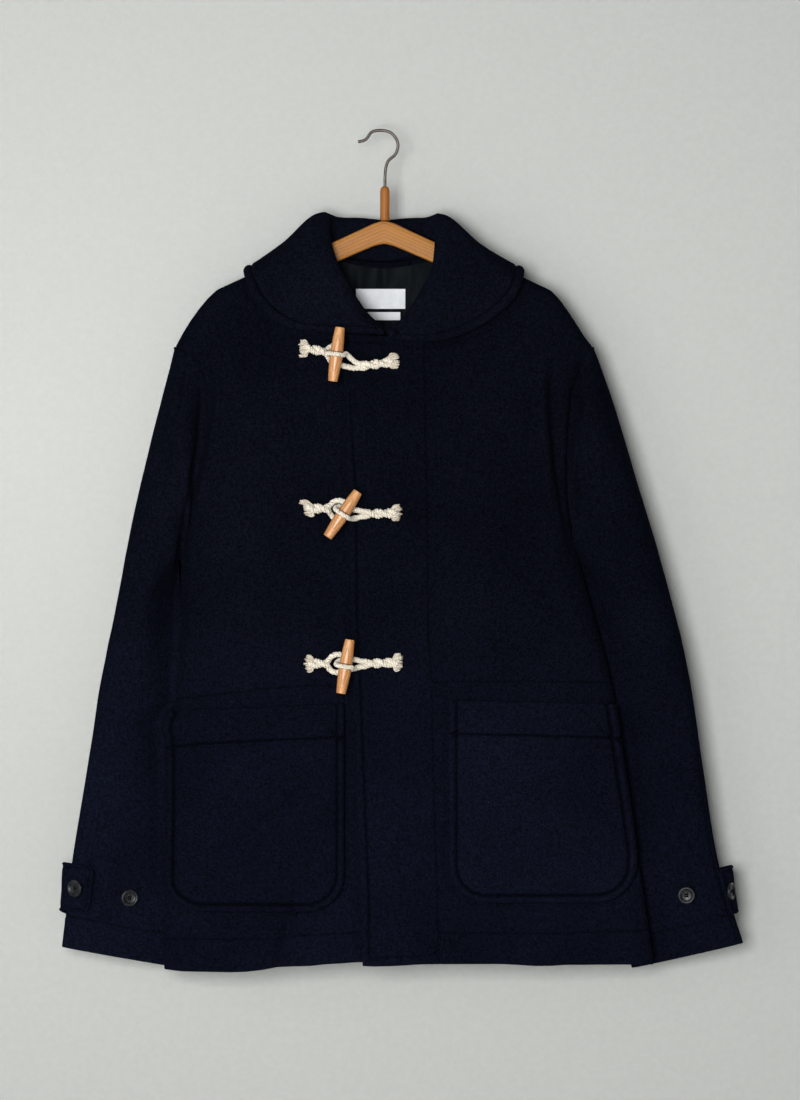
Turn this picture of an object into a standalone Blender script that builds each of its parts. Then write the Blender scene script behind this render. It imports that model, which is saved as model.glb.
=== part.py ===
"""Duffle coat on a wooden hanger, as the pieces that a maker cuts and sews.

The coat faces -Y and hangs from the inside of the hanger's wire hook, at the origin.
+X is the wearer's left. Sizes are in millimetres and become metres in new_mesh().
"""

import math

import bmesh
import bpy
import numpy as np
from mathutils import Matrix, Vector

MM = 0.001

# ------------------------------------------------------------------ driving sizes
CLOTH = 3.0                     # the wool's thickness
POCKET_CLOTH = 2.6
COLLAR_CLOTH = 4.0              # two layers, pressed together
LINING_CLOTH = 1.0
LABEL_CLOTH = 0.6
GAP = 0.3                       # between pieces at a seam
LAY_GAP = 0.8                   # between a panel and what lies on it

HEM = -917.0
ARMPIT = -450.0
SHOULDER = -237.0               # height of the point where shoulder and sleeve meet
SHOULDER_OUT = 230.0
NECK_OUT = 83.0                 # the shoulder seam's inner end, and its height
NECK_TOP = -126.5
NECK_BACK = -145.0              # the back neckline, at the middle
NECK_CURVE = 1.6                # how late the back neckline rises to the shoulder
NECK_FRONT = -226.0             # the front neckline, at the middle
LENS_POWER = 2.4                # how square the body's cross-section is
BAR_ROLL = 12.0                 # the cloth's roll over the hanger's bar
CHEST_DROP = 130.0              # from the shoulder line down to the full chest

OVERLAP = 3.9                   # how far the placket stands before the other front
UNDERLAP_EDGE = 8.0             # the hidden front's edge
OVERLAP_FADE = (18.0, 80.0)     # where the placket comes down to the cloth's level

# The grid of the back and the fronts: rows from the hem to the shoulder, and the
# shares of their height at the armpit and where the front edge meets the neckline.
PANEL_ROWS = np.array((0, 0.07, 0.15, 0.23, 0.31, 0.39, 0.46, 0.53, 0.6, 0.66, 0.72, 0.76,
                       0.8, 0.84, 0.88, 0.92, 0.95, 0.97, 0.984, 0.993, 0.998, 1))
SIDE_TURN = 0.6
NECK_TURN = 0.72
FRONT_COLS = 14
BACK_COLS = 13                  # from the middle out to each side
BACK_NECK = np.array((0, 32, 58, 76, NECK_OUT))     # the first columns, at the neck


def columns(names, rows):
    """A table as one array for each named column."""
    return dict(zip(names, np.array(rows, float).T))


# The body's edge on each side: the side seam up to the armpit, then the armhole.
EDGE = columns(
    ("height", "right", "left"),
    (
        (HEM, 242, 297),
        (-860, 242, 289),
        (-805, 241.5, 281),
        (-740, 240.5, 272),
        (-680, 238, 262.5),
        (-641, 232, 257),
        (-600, 227, 249),
        (-526, 223, 229.5),
        (-480, 221.5, 217),
        (ARMPIT, 220, 210),
        (-420, 216, 204.5),
        (-396, 209, 202),
        (-362, 200, 201.5),
        (-318, 195.5, 203),
        (-283, 197.5, 208),
        (-262, 203, 215.5),
        (-247, 213, 222.5),
        (SHOULDER, SHOULDER_OUT, SHOULDER_OUT),
    ),
)

# The body's depth at its middle, and where its side edge lies from front to back.
DEPTH = columns(
    ("height", "front", "back", "side"),
    (
        (HEM, 38, 14, -14),
        (-800, 41, 19, -11),
        (-620, 43, 23, -5),
        (ARMPIT, 43, 27, 0),
        (-340, 40, 28, 0),
        (-226, 34, 27, 0),
        (-95, 32, 26, 0),
    ),
)

# The shoulder line over the hanger, from the neck out.
RIDGE = columns(
    ("out", "right", "left"),
    (
        (0, -93.3, -93.3),
        (60, -116.9, -116.9),
        (NECK_OUT, NECK_TOP, NECK_TOP),
        (154, -160.0, -160.3),
        (184, -173.8, -174.6),
        (194, -183.0, -185.0),
        (204, -195.0, -199.0),
        (214, -209.0, -214.5),
        (222, -222.0, -227.0),
        (SHOULDER_OUT, SHOULDER, SHOULDER),
    ),
)
ARMHOLE_DEPTH = 25.0

# The body's largest folds: a line from (x, z) to (x, z), its half width, and how far
# it stands out (or sinks in, if less than 0). "face" is -1 on the front, 1 on the back.
FOLDS = columns(
    ("face", "x0", "z0", "x1", "z1", "width", "height"),
    (
        (-1, 178, -265, 186, -400, 13, 3.5),
        (-1, 194, -275, 199, -405, 9, -4.5),
        (-1, -150, -215, -195, -330, 22, 2.5),
        (-1, -112, -872, -128, HEM, 15, 4.0),
        (-1, -84, -872, -98, HEM, 14, -4.0),
        (-1, 120, -560, 150, -700, 40, 3.0),
        (1, -60, -260, -95, HEM, 34, 4.5),
        (1, 45, -240, 80, HEM, 32, -4.5),
        (1, 150, -330, 190, HEM, 30, 4.0),
        (1, -170, -300, -185, -800, 28, -3.5),
    ),
)

# Front edges: the placket's outer edge leans as the coat opens towards the hem.
PLACKET_EDGE = columns(
    ("height", "x"),
    ((HEM, -24), (-700, -31), (-520, -37), (-300, -41), (NECK_FRONT, -38)),
)

# The front neckline, from the middle out to the shoulder seam.
NECKLINE = columns(
    ("out", "z"),
    ((0, NECK_FRONT), (24, -222), (44, -212), (58, -196), (69, -176), (77, -155),
     (NECK_OUT, NECK_TOP)),
)

SLEEVE_COLUMNS = ("outer_x", "outer_z", "outer_y", "inner_x", "inner_z", "inner_y",
                  "depth", "hollow")
# Each row is one ring of the sleeve, from just under the shoulder to the cuff: its
# outer and inner ends, its half depth, and how far its middle bends to the body.
SLEEVES = {
    -1: columns(SLEEVE_COLUMNS, (
        (236, -258, 0, 223.5, -457, 4, 29, 15),
        (247, -300, 0, 224, -466, 8, 33, 6),
        (258, -345, 0, 222.5, -480, 13, 35, 1),
        (271, -399, -1, 214, -502, 19, 36, 0),
        (284, -462, -3, 210, -530, 24, 35, 0),
        (299, -541, -4, 202, -586, 29, 33, 0),
        (313.5, -614, -4, 199, -652, 31, 30.5, 0),
        (327, -700, -3, 201, -733, 31, 27, 0),
        (344, -805, -1, 208, -833, 28, 22, 0),
        (355, -898.5, 0, 216, -924, 25, 17, 0),
    )),
    1: columns(SLEEVE_COLUMNS, (
        (238.5, -258, 0, 214, -457, 4, 29, 15),
        (253, -300, 0, 217, -466, 8, 33, 7),
        (267, -345, 0, 219, -480, 13, 35, 2),
        (283, -399, -1, 213, -502, 20, 36, 0),
        (302, -462, -3, 211, -533, 26, 35, 0),
        (323, -541, -4, 214, -590, 31, 33, 0),
        (339, -614, -4, 226, -655, 32, 30.5, 0),
        (351.5, -700, -3, 239, -736, 31, 27, 0),
        (368.5, -805, -1, 256, -836, 28, 22, 0),
        (393, -892, 0, 274, -923, 25, 17, 0),
    )),
}

AROUND = 22                     # points round a sleeve
SLEEVE_ROWS = np.array((0, 0.5, 1, 1.6, 2.3, 3, 3.8, 4.6, 5.4, 6.2, 7, 7.8, 8.6, 9.3, 10))
SLEEVE_GAP = 0.5                # at the armhole seam
TUCK_GAP = 4.2                  # the sleeve passes this far behind the body's edge,
TUCK_REACH = 10.0               # and turns back this far before it, both fully
TUCK_FADE = 70.0                # from this far below the armpit

# The collar, from the middle front round the neck: the neck seam's place on the
# neckline (out from the middle), the roll line, the outer edge, how far the edge
# stands off the cloth, the way it faces in degrees from the front, and its bulge.
COLLAR_COLUMNS = ("neck", "roll_x", "roll_y", "roll_z", "edge_x", "edge_z", "lift",
                  "turn", "bulge")
COLLAR_SIDES = {
    -1: columns(COLLAR_COLUMNS, (
        (5, 2.5, -38, -217.5, 6, -222.5, 6.0, 0, 0),
        (24, 15.4, -37, -205.7, 33, -221.5, 5.4, 3, 1),
        (44, 29.7, -36, -187, 62, -221, 5.0, 8, 2),
        (58, 41.8, -32.5, -167, 97, -217.8, 4.6, 14, 3),
        (69, 52, -27.5, -148, 122, -206, 4.6, 24, 4),
        (77, 61, -18, -120, 140, -188, 5.0, 42, 6),
        (81.5, 64, -6, -98, 149.5, -169, 7.5, 66, 8),
        (NECK_OUT, 65, 2, -91, 153, -153.5, 4.5, 90, 9),
        (78, 62, 11, -91.5, 141, -169, 7.5, 125, 7),
        (60, 49, 21, -95, 102, -190, 4.6, 155, 4),
        (30, 27, 26, -95.5, 53, -200, 4.6, 172, 3),
        (0, 0, 27.5, -97.5, 0, -203, 4.6, 180, 3),
    )),
    1: columns(COLLAR_COLUMNS, (
        (3.5, 0, -41.5, -217.5, 5, -236, 5.6, 0, 0),
        (22, 15.4, -41, -213, 36, -231.5, 5.2, 3, 1),
        (40, 30, -38.5, -196, 64, -227.5, 5.0, 8, 2),
        (55, 46.2, -35, -169.4, 100, -217, 4.6, 14, 3),
        (67, 55, -29.5, -148.5, 124, -202, 4.6, 24, 4),
        (76, 58.5, -19, -120, 141, -186, 5.0, 42, 6),
        (81.5, 58.5, -7, -98, 150, -169, 7.5, 66, 8),
        (NECK_OUT, 58, 2, -92, 153, -153.5, 4.5, 90, 9),
        (78, 56, 11, -92.5, 142, -169, 7.5, 125, 7),
        (60, 46, 21, -95, 103, -190, 4.6, 155, 4),
        (30, 27, 26, -95.5, 53, -200, 4.6, 172, 3),
        (0, 0, 27.5, -97.5, 0, -203, 4.6, 180, 3),
    )),
}
ROLL_RADIUS = 4.6
NECK_SEAM = 3.1                 # the stand starts this far above the neckline
COLLAR_STATIONS = 34
# Where a collar section's seven points lie along it, and where it is cut.
COLLAR_KNOTS = np.array((0, 0.18, 0.36, 0.42, 0.48, 0.74, 1))
COLLAR_CUTS = (0, 0.13, 0.26, 0.35, 0.39, 0.42, 0.45, 0.5, 0.61, 0.74, 0.87, 1)

# Pockets: inner and outer edge, height of the opening at each, and of the bottom.
POCKET_COLUMNS = ("sign", "inner", "outer", "top_inner", "top_outer", "bottom")
POCKETS = columns(
    POCKET_COLUMNS,
    ((-1, 43, 240, -629, -641, -858), (1, 71, 276, -625.5, -631.5, -848)),
)
POCKET_CORNER = 42.0
POCKET_SIDE = 3.0               # from the pocket's outer edge to the body's side
POCKET_COLS = 11

# Cuff tabs: the rows and columns of the sleeve's grid that each covers, the column of
# its button, and the row and column of the button sewn on the sleeve.
TAB_ROWS = (12.58, 13.4)
TABS = columns(
    ("sign", "start", "end", "button", "spare"),
    ((-1, -4.5, 3.27, 2.0, 5.4), (1, -4.5, 1.47, 0.25, 4.55)),
)
SPARE_ROW = 12.95
TAB_CLOTH = 2.8

# Inside the neck: the lining, the labels on it, and the loop at the seam.
LINING_HALF = 56.0
LINING_DROP = 5.0               # its top edge, below the back neckline
LINING_BOTTOM = -252.0
LINING_OFF = 1.2
LABEL_OFF = 0.4
LABELS = (
    ("label_main", -31, 23.5, -172.5, -194.5),
    ("label_size", -20, 18, -198, -207),
)
LOOP_ENDS = (-28.0, 29.0)
LOOP_CORD = 2.6
LOOP_OFF = LOOP_CORD / 2 + 0.4  # where its ends are sewn to the back
LOOP_SAG = 1.5

# Hanger: height of the bar's top and bottom edge, and half its thickness.
BAR = columns(
    ("out", "top", "bottom", "half"),
    (
        (0, -98, -123.3, 5.8),
        (12, -101.7, -126.8, 5.8),
        (30, -110.2, -134.5, 5.8),
        (60, -124, -147.5, 5.8),
        (105, -143.6, -165.5, 5.8),
        (154, -165, -186, 5.6),
        (174, -175.6, -194, 5.2),
        (183, -182.4, -195.5, 4.2),
        (187.5, -187, -192.5, 2.6),
    ),
)
DOWEL_RADIUS = 5.4
DOWEL_TOP = -59.5
HOOK_WIRE = 3.3
# The hook's wire, seen from the front: the wire's middle, tip first.
HOOK = columns(
    ("x", "z"),
    ((-28.6, -11), (-20.9, -8.8), (-13.2, 0), (-3.9, 1.7), (7.7, -1.1), (15.4, -13.2),
     (12.8, -24.2), (4.4, -32.5), (2.2, -38.5), (1.1, -50), (1.1, DOWEL_TOP + GAP)),
)

# Toggles: middle, tilt from upright, how far the toggle is drawn forward against its
# band, and each rope's split and sewn end, from the middle.
TOGGLES = columns(
    ("x", "z", "tilt", "seat", "left_split_x", "left_split_z", "left_x", "left_z",
     "right_split_x", "right_split_z", "right_x", "right_z"),
    (
        (-51.3, -244.2, 7.8, 1.6, 31, -10.5, 61, -7.5, -19, 1.2, -36.5, 5.0),
        (-45.4, -420.2, 34.0, 0.5, 27, -1.7, 59.5, 0.0, -21, 4.4, -39.0, 4.7),
        (-42.5, -588.5, 9.5, 1.6, 28, 1.0, 61, 3.0, -19, 1.0, -35.0, 2.2),
    ),
)
TOGGLE_NAMES = ("top", "middle", "bottom")
TOGGLE_LENGTH = 60.0
TOGGLE_RADIUS = 7.2
TOGGLE_END_RADIUS = 5.2
STRAND = 4.7                    # one strand of the toggle rope
TWIST_RADIUS = 2.6
TWIST_PITCH = 22.0
ROPE_POINTS = 44
STRAND_GAP = 0.35
# Heights above the cloth, of a strand that lies on it, of the twist's middle, of the
# strand behind the toggle, and of the toggle's middle; the band goes round the toggle.
LYING_HEIGHT = STRAND_GAP + STRAND / 2
TWIST_HEIGHT = LYING_HEIGHT + TWIST_RADIUS
BACK_HEIGHT = LYING_HEIGHT + STRAND + STRAND_GAP
BAND_RADIUS = TOGGLE_RADIUS + STRAND / 2 + 2.1
TOGGLE_HEIGHT = BACK_HEIGHT + BAND_RADIUS
TUFT_WIDE = 19.0
TUFT_LONG = 9.0
TUFT_TALL = 3.6
# The tuft flares from the rope: share of its length, of its width and of its height.
TUFT = columns(("share", "wide", "tall"),
               ((0, 0.52, 1.0), (0.35, 0.6, 0.9), (0.7, 0.86, 0.75), (1, 1.0, 0.55)))

BUTTON_RADIUS = 9.5
BUTTON_THICK = 4.2
BUTTON_BODY = 3.0               # without its raised rim
BUTTON_GAP = 0.9

WOOL_COLOUR = (0.006, 0.008, 0.022, 1)
LINING_COLOUR = (0.008, 0.012, 0.014, 1)
ROPE_COLOUR = (0.78, 0.70, 0.55, 1)
TOGGLE_COLOUR = (0.66, 0.34, 0.14, 1)
HANGER_COLOUR = (0.42, 0.20, 0.07, 1)
LABEL_COLOUR = (0.72, 0.74, 0.76, 1)
BUTTON_COLOUR = (0.015, 0.016, 0.020, 1)
STEEL_COLOUR = (0.20, 0.17, 0.15, 1)


# ------------------------------------------------------------------ number helpers
def through(knots, values, at):
    """A smooth curve through (knot, value) pairs with rising knots."""
    slopes = np.gradient(values, knots)
    at = np.clip(at, knots[0], knots[-1])
    i = np.clip(np.searchsorted(knots, at) - 1, 0, len(knots) - 2)
    span = knots[i + 1] - knots[i]
    t = (at - knots[i]) / span
    ease = t * t * (3 - 2 * t)
    return (
        values[i] * (1 - ease) + values[i + 1] * ease
        + span * (slopes[i] * t * (1 - t) ** 2 - slopes[i + 1] * t * t * (1 - t))
    )


def smooth(value, low, high):
    """0 at low, 1 at high, with a soft start and end."""
    t = np.clip((value - low) / (high - low), 0, 1)
    return t * t * (3 - 2 * t)


def along(points, shares):
    """Points at the given shares, 0 to 1, of a polyline's length."""
    points = np.asarray(points, float)
    steps = np.linalg.norm(np.diff(points, axis=0), axis=1)
    reach = np.concatenate(([0.0], np.cumsum(steps)))
    at = np.asarray(shares) * reach[-1]
    return np.stack([np.interp(at, reach, points[:, k]) for k in range(points.shape[1])],
                    axis=1)


def spline(points, count):
    """A smooth curve through 3-D points, as a number of evenly spaced ones."""
    points = np.asarray(points, float)
    steps = np.linalg.norm(np.diff(points, axis=0), axis=1)
    knots = np.concatenate(([0.0], np.cumsum(steps)))
    fine = np.linspace(0, knots[-1], 12 * len(points))
    curve = np.stack([through(knots, points[:, k], fine) for k in range(3)], axis=1)
    return along(curve, np.linspace(0, 1, count))


def unit(vectors):
    lengths = np.linalg.norm(vectors, axis=-1, keepdims=True)
    return vectors / np.maximum(lengths, 1e-9)


def side_name(sign):
    return "left" if sign > 0 else "right"


# ------------------------------------------------------------------ the body's shape
def ridge(x):
    """Height of the shoulder line's outer face at x."""
    name = side_name(x)
    return float(np.interp(abs(x), RIDGE["out"], RIDGE[name]))


def edge_out(sign, z):
    """How far out the body reaches at a height: side seam, armhole or shoulder."""
    name = side_name(sign)
    if z <= SHOULDER:
        return float(through(EDGE["height"], EDGE[name], z))
    return float(np.interp(z, RIDGE[name][::-1], RIDGE["out"][::-1]))


def edge_depth(z, face):
    """Y of the body's edge: the side seam's, or the armhole's front or back."""
    side = float(through(DEPTH["height"], DEPTH["side"], z))
    if ARMPIT < z < SHOULDER:
        share = (z - ARMPIT) / (SHOULDER - ARMPIT)
        side += face * ARMHOLE_DEPTH * math.sin(math.pi * share) ** 0.75
    return side


def folds(x, z, face):
    """How far the large folds raise the cloth at a place."""
    total = 0.0
    for k in range(len(FOLDS["face"])):
        if FOLDS["face"][k] != face:
            continue
        start = np.array((FOLDS["x0"][k], FOLDS["z0"][k]))
        line = np.array((FOLDS["x1"][k], FOLDS["z1"][k])) - start
        length = np.linalg.norm(line)
        place = np.array((x, z)) - start
        share = float(place @ line) / length ** 2
        across = (place[0] * line[1] - place[1] * line[0]) / length
        fade = smooth(share, -0.05, 0.35) * (1 - smooth(share, 0.8, 1.15))
        if abs(FOLDS["z1"][k] - HEM) < 1:
            fade = smooth(share, -0.05, 0.35)
        total += FOLDS["height"][k] * fade * math.exp(-(across / FOLDS["width"][k]) ** 2)
    return total


def skin(x, z, face):
    """Y of the body's outer face at a place seen from the front."""
    reach = float(through(DEPTH["height"], DEPTH["front" if face < 0 else "back"], z))
    share = min(1.0, abs(x) / edge_out(x if x else 1, z))
    lens = (1 - share ** LENS_POWER) ** (1 / LENS_POWER)
    hang = 1 - smooth(z, -300, -205)
    lens = 1 - hang * (1 - lens)
    drop = max(0.0, ridge(x) - z)
    over_bar = BAR_ROLL * math.sqrt(1 - (1 - min(1.0, drop / BAR_ROLL)) ** 2)
    below = (reach - BAR_ROLL) * math.sin(math.pi / 2 * min(1.0, drop / CHEST_DROP))
    full = over_bar + below + folds(x, z, face) * smooth(drop, 20, 90)
    return edge_depth(z, face) * (1 - lens) + face * full * lens


def placket_raise(x):
    """How far the left front stands before the right one where they overlap."""
    return OVERLAP * (1 - smooth(x, *OVERLAP_FADE))


def skin_normal(x, z, face, step=0.5):
    """The outward direction of the body's outer face."""
    slope_x = (skin(x + step, z, face) - skin(x - step, z, face)) / (2 * step)
    slope_z = (skin(x, z + step, face) - skin(x, z - step, face)) / (2 * step)
    return unit(np.array((-slope_x, 1.0, -slope_z)) * face)


def neckline_front(sign, out):
    return float(through(NECKLINE["out"], NECKLINE["z"], out))


def neckline_back(out):
    share = min(1.0, out / NECK_OUT)
    return NECK_BACK + (ridge(NECK_OUT) - NECK_BACK) * share ** NECK_CURVE


# ------------------------------------------------------------------ building meshes
def fresh_scene():
    for thing in list(bpy.data.objects):
        bpy.data.objects.remove(thing, do_unlink=True)


def new_collection(name):
    made = bpy.data.collections.new(name)
    bpy.context.scene.collection.children.link(made)
    return made


def finish_material(name, colour, roughness, metallic=0.0):
    made = bpy.data.materials.new(name)
    made.use_nodes = True
    shader = made.node_tree.nodes["Principled BSDF"]
    shader.inputs["Base Color"].default_value = colour
    shader.inputs["Roughness"].default_value = roughness
    shader.inputs["Metallic"].default_value = metallic
    made.diffuse_color = colour
    return made


def add_object(name, data, colour, roughness=0.9, metallic=0.0, smooth_faces=True):
    made = bpy.data.objects.new(name, data)
    COAT.objects.link(made)
    data.materials.append(finish_material(f"{name}_finish", colour, roughness, metallic))
    if smooth_faces and isinstance(data, bpy.types.Mesh):
        data.shade_smooth()
        data.set_sharp_from_angle(angle=math.radians(50))
    return made


def new_mesh(name, points, faces):
    made = bpy.data.meshes.new(name)
    made.from_pydata([tuple(point * MM) for point in points], [], faces)
    made.update()
    return made


def grid_normals(grid, ring):
    """Normals of a grid of points; its second direction closes up on a ring."""
    if ring:
        padded = np.concatenate((grid[:, -1:], grid, grid[:, :1]), axis=1)
        across = (padded[:, 2:] - padded[:, :-2]) / 2
    else:
        across = np.gradient(grid, axis=1)
    return unit(np.cross(np.gradient(grid, axis=0), across))


def wall(name, outer, inner, colour, ring=False, roughness=0.92):
    """A closed cloth wall between an outer and an inner grid of points."""
    rows, cols = outer.shape[:2]
    points = np.concatenate((outer.reshape(-1, 3), inner.reshape(-1, 3)))
    under = rows * cols
    last = cols if ring else cols - 1
    faces = []
    for i in range(rows - 1):
        for j in range(last):
            a, b = i * cols + j, i * cols + (j + 1) % cols
            c, d = b + cols, a + cols
            faces.append((a, d, c, b))
            faces.append((under + a, under + b, under + c, under + d))
    rims = [[j for j in range(cols)], [(rows - 1) * cols + j for j in range(cols)][::-1]]
    if ring:
        rims = [rim + rim[:1] for rim in rims]
    else:
        rims = [rims[0] + [i * cols + cols - 1 for i in range(1, rows)]
                + rims[1][1:] + [i * cols for i in range(rows - 2, -1, -1)]]
    for rim in rims:
        for a, b in zip(rim, rim[1:]):
            faces.append((a, b, under + b, under + a))
    data = new_mesh(name, points, faces)
    face_outward(data)
    return add_object(name, data, colour, roughness)


def face_outward(data):
    shape = bmesh.new()
    shape.from_mesh(data)
    bmesh.ops.recalc_face_normals(shape, faces=shape.faces)
    shape.to_mesh(data)
    shape.free()


def solid_of_rings(name, rings, colour, roughness=0.6):
    """A closed solid through rings of points, with flat ends."""
    count, around = len(rings), len(rings[0])
    faces = [tuple(range(around)), tuple((count - 1) * around + k
                                         for k in range(around))[::-1]]
    for i in range(count - 1):
        for j in range(around):
            a, b = i * around + j, i * around + (j + 1) % around
            faces.append((a, a + around, b + around, b))
    data = new_mesh(name, np.concatenate(rings), faces)
    face_outward(data)
    return add_object(name, data, colour, roughness)


def tube(name, points, diameter, colour, roughness=0.8, metallic=0.0):
    """A round cord or wire along points."""
    curve = bpy.data.curves.new(name, "CURVE")
    curve.dimensions = "3D"
    curve.bevel_depth = diameter / 2 * MM
    curve.bevel_resolution = 2
    curve.use_fill_caps = True
    line = curve.splines.new("POLY")
    line.points.add(len(points) - 1)
    for point, place in zip(line.points, points):
        point.co = (*(place * MM), 1)
    return add_object(name, curve, colour, roughness, metallic)


def turned(name, profile, steps, place, colour, roughness=0.5):
    """A turned solid: a profile of (radius, height) pairs, top to bottom, and a place."""
    data = bpy.data.meshes.new(name)
    points = [(radius * MM, 0, height * MM) for radius, height in profile]
    data.from_pydata(points, [(k, k + 1) for k in range(len(points) - 1)], [])
    made = add_object(name, data, colour, roughness)
    made.matrix_world = place
    screw = made.modifiers.new("turn", "SCREW")
    screw.steps = steps
    screw.render_steps = steps
    screw.use_merge_vertices = True
    screw.merge_threshold = 0.00005
    return made


def placed(middle, z_axis, x_hint):
    """A matrix at a place in mm whose Z points along z_axis."""
    z_axis = Vector(z_axis).normalized()
    x_axis = (Vector(x_hint) - z_axis * Vector(x_hint).dot(z_axis)).normalized()
    y_axis = z_axis.cross(x_axis)
    turn = Matrix((x_axis, y_axis, z_axis)).transposed().to_4x4()
    return Matrix.Translation(Vector(middle) * MM) @ turn


# ------------------------------------------------------------------ back and fronts
def four_sided(bottom, top, inner, outer, rows, cols):
    """A patch between four edge curves, each a function of shares that gives (x, z)."""
    u, v = cols[None, :, None], rows[:, None, None]
    low, high = bottom(cols)[None], top(cols)[None]
    near, far = inner(rows)[:, None], outer(rows)[:, None]
    corners = (
        (1 - u) * (1 - v) * low[:, :1] + u * (1 - v) * low[:, -1:]
        + (1 - u) * v * high[:, :1] + u * v * high[:, -1:]
    )
    return (1 - v) * low + v * high + (1 - u) * near + u * far - corners


def two_legs(first, second, turn):
    """An edge curve of two polylines that meet at the share "turn"."""
    def place(shares):
        lower = along(first, np.clip(shares / turn, 0, 1))
        upper = along(second, np.clip((shares - turn) / (1 - turn), 0, 1))
        return np.where((shares <= turn)[:, None], lower, upper)
    return place


def side_legs(sign):
    """The side seam from the hem to the armpit, then the armhole to the shoulder."""
    seam = [(sign * edge_out(sign, z), z) for z in np.linspace(HEM, ARMPIT, 30)]
    hole = [(sign * edge_out(sign, z), z) for z in np.linspace(ARMPIT, SHOULDER, 40)]
    return two_legs(seam, hole, SIDE_TURN)


def edge_spacing(count):
    """Shares 0 to 1 that come closer together towards 1."""
    return np.sin(np.linspace(0, math.pi / 2, count))


def lifted(flat, face, extra):
    """Grid points in 3-D from (x, z) ones, on the skin."""
    grid = np.zeros(flat.shape[:2] + (3,))
    for i, row in enumerate(flat):
        for j, (x, z) in enumerate(row):
            grid[i, j] = (x, skin(x, z, face) + extra(x, z), z)
    return grid


def panel_normals(grid, face, seams):
    """Outward normals, level at the side seams and upright along the shoulder."""
    normals = grid_normals(grid, False)
    middle = normals[len(normals) // 2, normals.shape[1] // 2]
    if middle[1] * face < 0:
        normals = -normals
    for sign, col in seams:
        for i, share in enumerate(PANEL_ROWS):
            if share <= SIDE_TURN:
                normals[i, col] = (sign, 0, 0)
    return normals


def shoulder_normals(grid, normals, cols):
    """Turn the top row's normals square to the shoulder seam."""
    tangent = unit(np.gradient(grid[-1], axis=0))
    for j in cols:
        upright = np.array((-tangent[j, 2], 0, tangent[j, 0]))
        normals[-1, j] = upright * (1 if upright[2] > 0 else -1)


def part_seams(grid, face, seams, shoulder_cols):
    """Move the edges half a gap off the seam planes."""
    for _, col in seams:
        for i, share in enumerate(PANEL_ROWS):
            if share <= SIDE_TURN:
                grid[i, col, 1] += face * GAP / 2
    for j in shoulder_cols:
        grid[-1, j, 1] = face * GAP / 2


def make_front(sign):
    """One front: the left one lies on top, with the placket, the right one under it."""
    if sign > 0:
        heights = np.linspace(HEM, NECK_FRONT + 1.5, 24)
        edge = [(float(through(PLACKET_EDGE["height"], PLACKET_EDGE["x"], z)), z)
                for z in heights]
        start = -PLACKET_EDGE["x"][-1]
    else:
        edge = [(UNDERLAP_EDGE, HEM), (UNDERLAP_EDGE, NECK_FRONT)]
        start = UNDERLAP_EDGE
    neck = [(-sign * start, edge[-1][1])] + [
        (sign * out, neckline_front(sign, out)) for out in np.linspace(0, NECK_OUT, 24)]
    shoulder = [(sign * out, ridge(sign * out))
                for out in np.linspace(NECK_OUT, SHOULDER_OUT, 40)]
    hem = [edge[0], (sign * edge_out(sign, HEM), HEM)]
    cols = edge_spacing(FRONT_COLS)
    flat = four_sided(lambda s: along(hem, s), lambda s: along(shoulder, s),
                      two_legs(edge, neck, NECK_TURN), side_legs(sign), PANEL_ROWS, cols)

    def extra(x, z):
        return -placket_raise(x) if sign > 0 else 0.0

    grid = lifted(flat, -1, extra)
    seams = ((sign, -1),)
    normals = panel_normals(grid, -1, seams)
    shoulder_normals(grid, normals, range(grid.shape[1]))
    part_seams(grid, -1, seams, range(grid.shape[1]))
    name = f"front_{side_name(sign)}"
    wall(name, grid, grid - normals * CLOTH, WOOL_COLOUR)


def make_back():
    """The back, from side seam to side seam, with the neckline in its top edge."""
    half = edge_spacing(BACK_COLS)
    cols = np.concatenate((-half[:0:-1], half)) / 2 + 0.5
    hem = [(-edge_out(-1, HEM), HEM), (edge_out(1, HEM), HEM)]
    neck_col = len(BACK_NECK) - 1
    past_neck = (half[neck_col:] - half[neck_col]) / (1 - half[neck_col])
    outs = np.concatenate(
        (BACK_NECK[:-1], NECK_OUT + past_neck * (SHOULDER_OUT - NECK_OUT)))

    def top(_):
        right = [(-out, neckline_back(out) if out < NECK_OUT else ridge(-out))
                 for out in outs[:0:-1]]
        left = [(out, neckline_back(out) if out < NECK_OUT else ridge(out))
                for out in outs]
        return np.array(right + left)

    flat = four_sided(lambda s: along(hem, s), top, side_legs(-1), side_legs(1),
                      PANEL_ROWS, cols)
    grid = lifted(flat, 1, lambda x, z: 0.0)
    seams = ((-1, 0), (1, -1))
    normals = panel_normals(grid, 1, seams)
    middle = grid.shape[1] // 2
    shoulder_cols = [j for j in range(grid.shape[1]) if abs(j - middle) >= neck_col]
    shoulder_normals(grid, normals, shoulder_cols)
    part_seams(grid, 1, seams, shoulder_cols)
    wall("back", grid, grid - normals * CLOTH, WOOL_COLOUR)
    return grid, normals


# ------------------------------------------------------------------ sleeves
def armhole_ring(sign):
    """The armhole's outer edge, from the shoulder down the front and up the back."""
    ring = []
    for angle in np.linspace(0, 2 * math.pi, AROUND, endpoint=False):
        z = (SHOULDER + ARMPIT) / 2 + (SHOULDER - ARMPIT) / 2 * math.cos(angle)
        z = min(SHOULDER, max(ARMPIT, z))
        face = -1 if angle < math.pi else 1
        out = edge_out(sign, z) + SLEEVE_GAP
        depth = skin(sign * (out - SLEEVE_GAP), z, face)
        ring.append((sign * out, depth, z))
    return np.array(ring)


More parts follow.
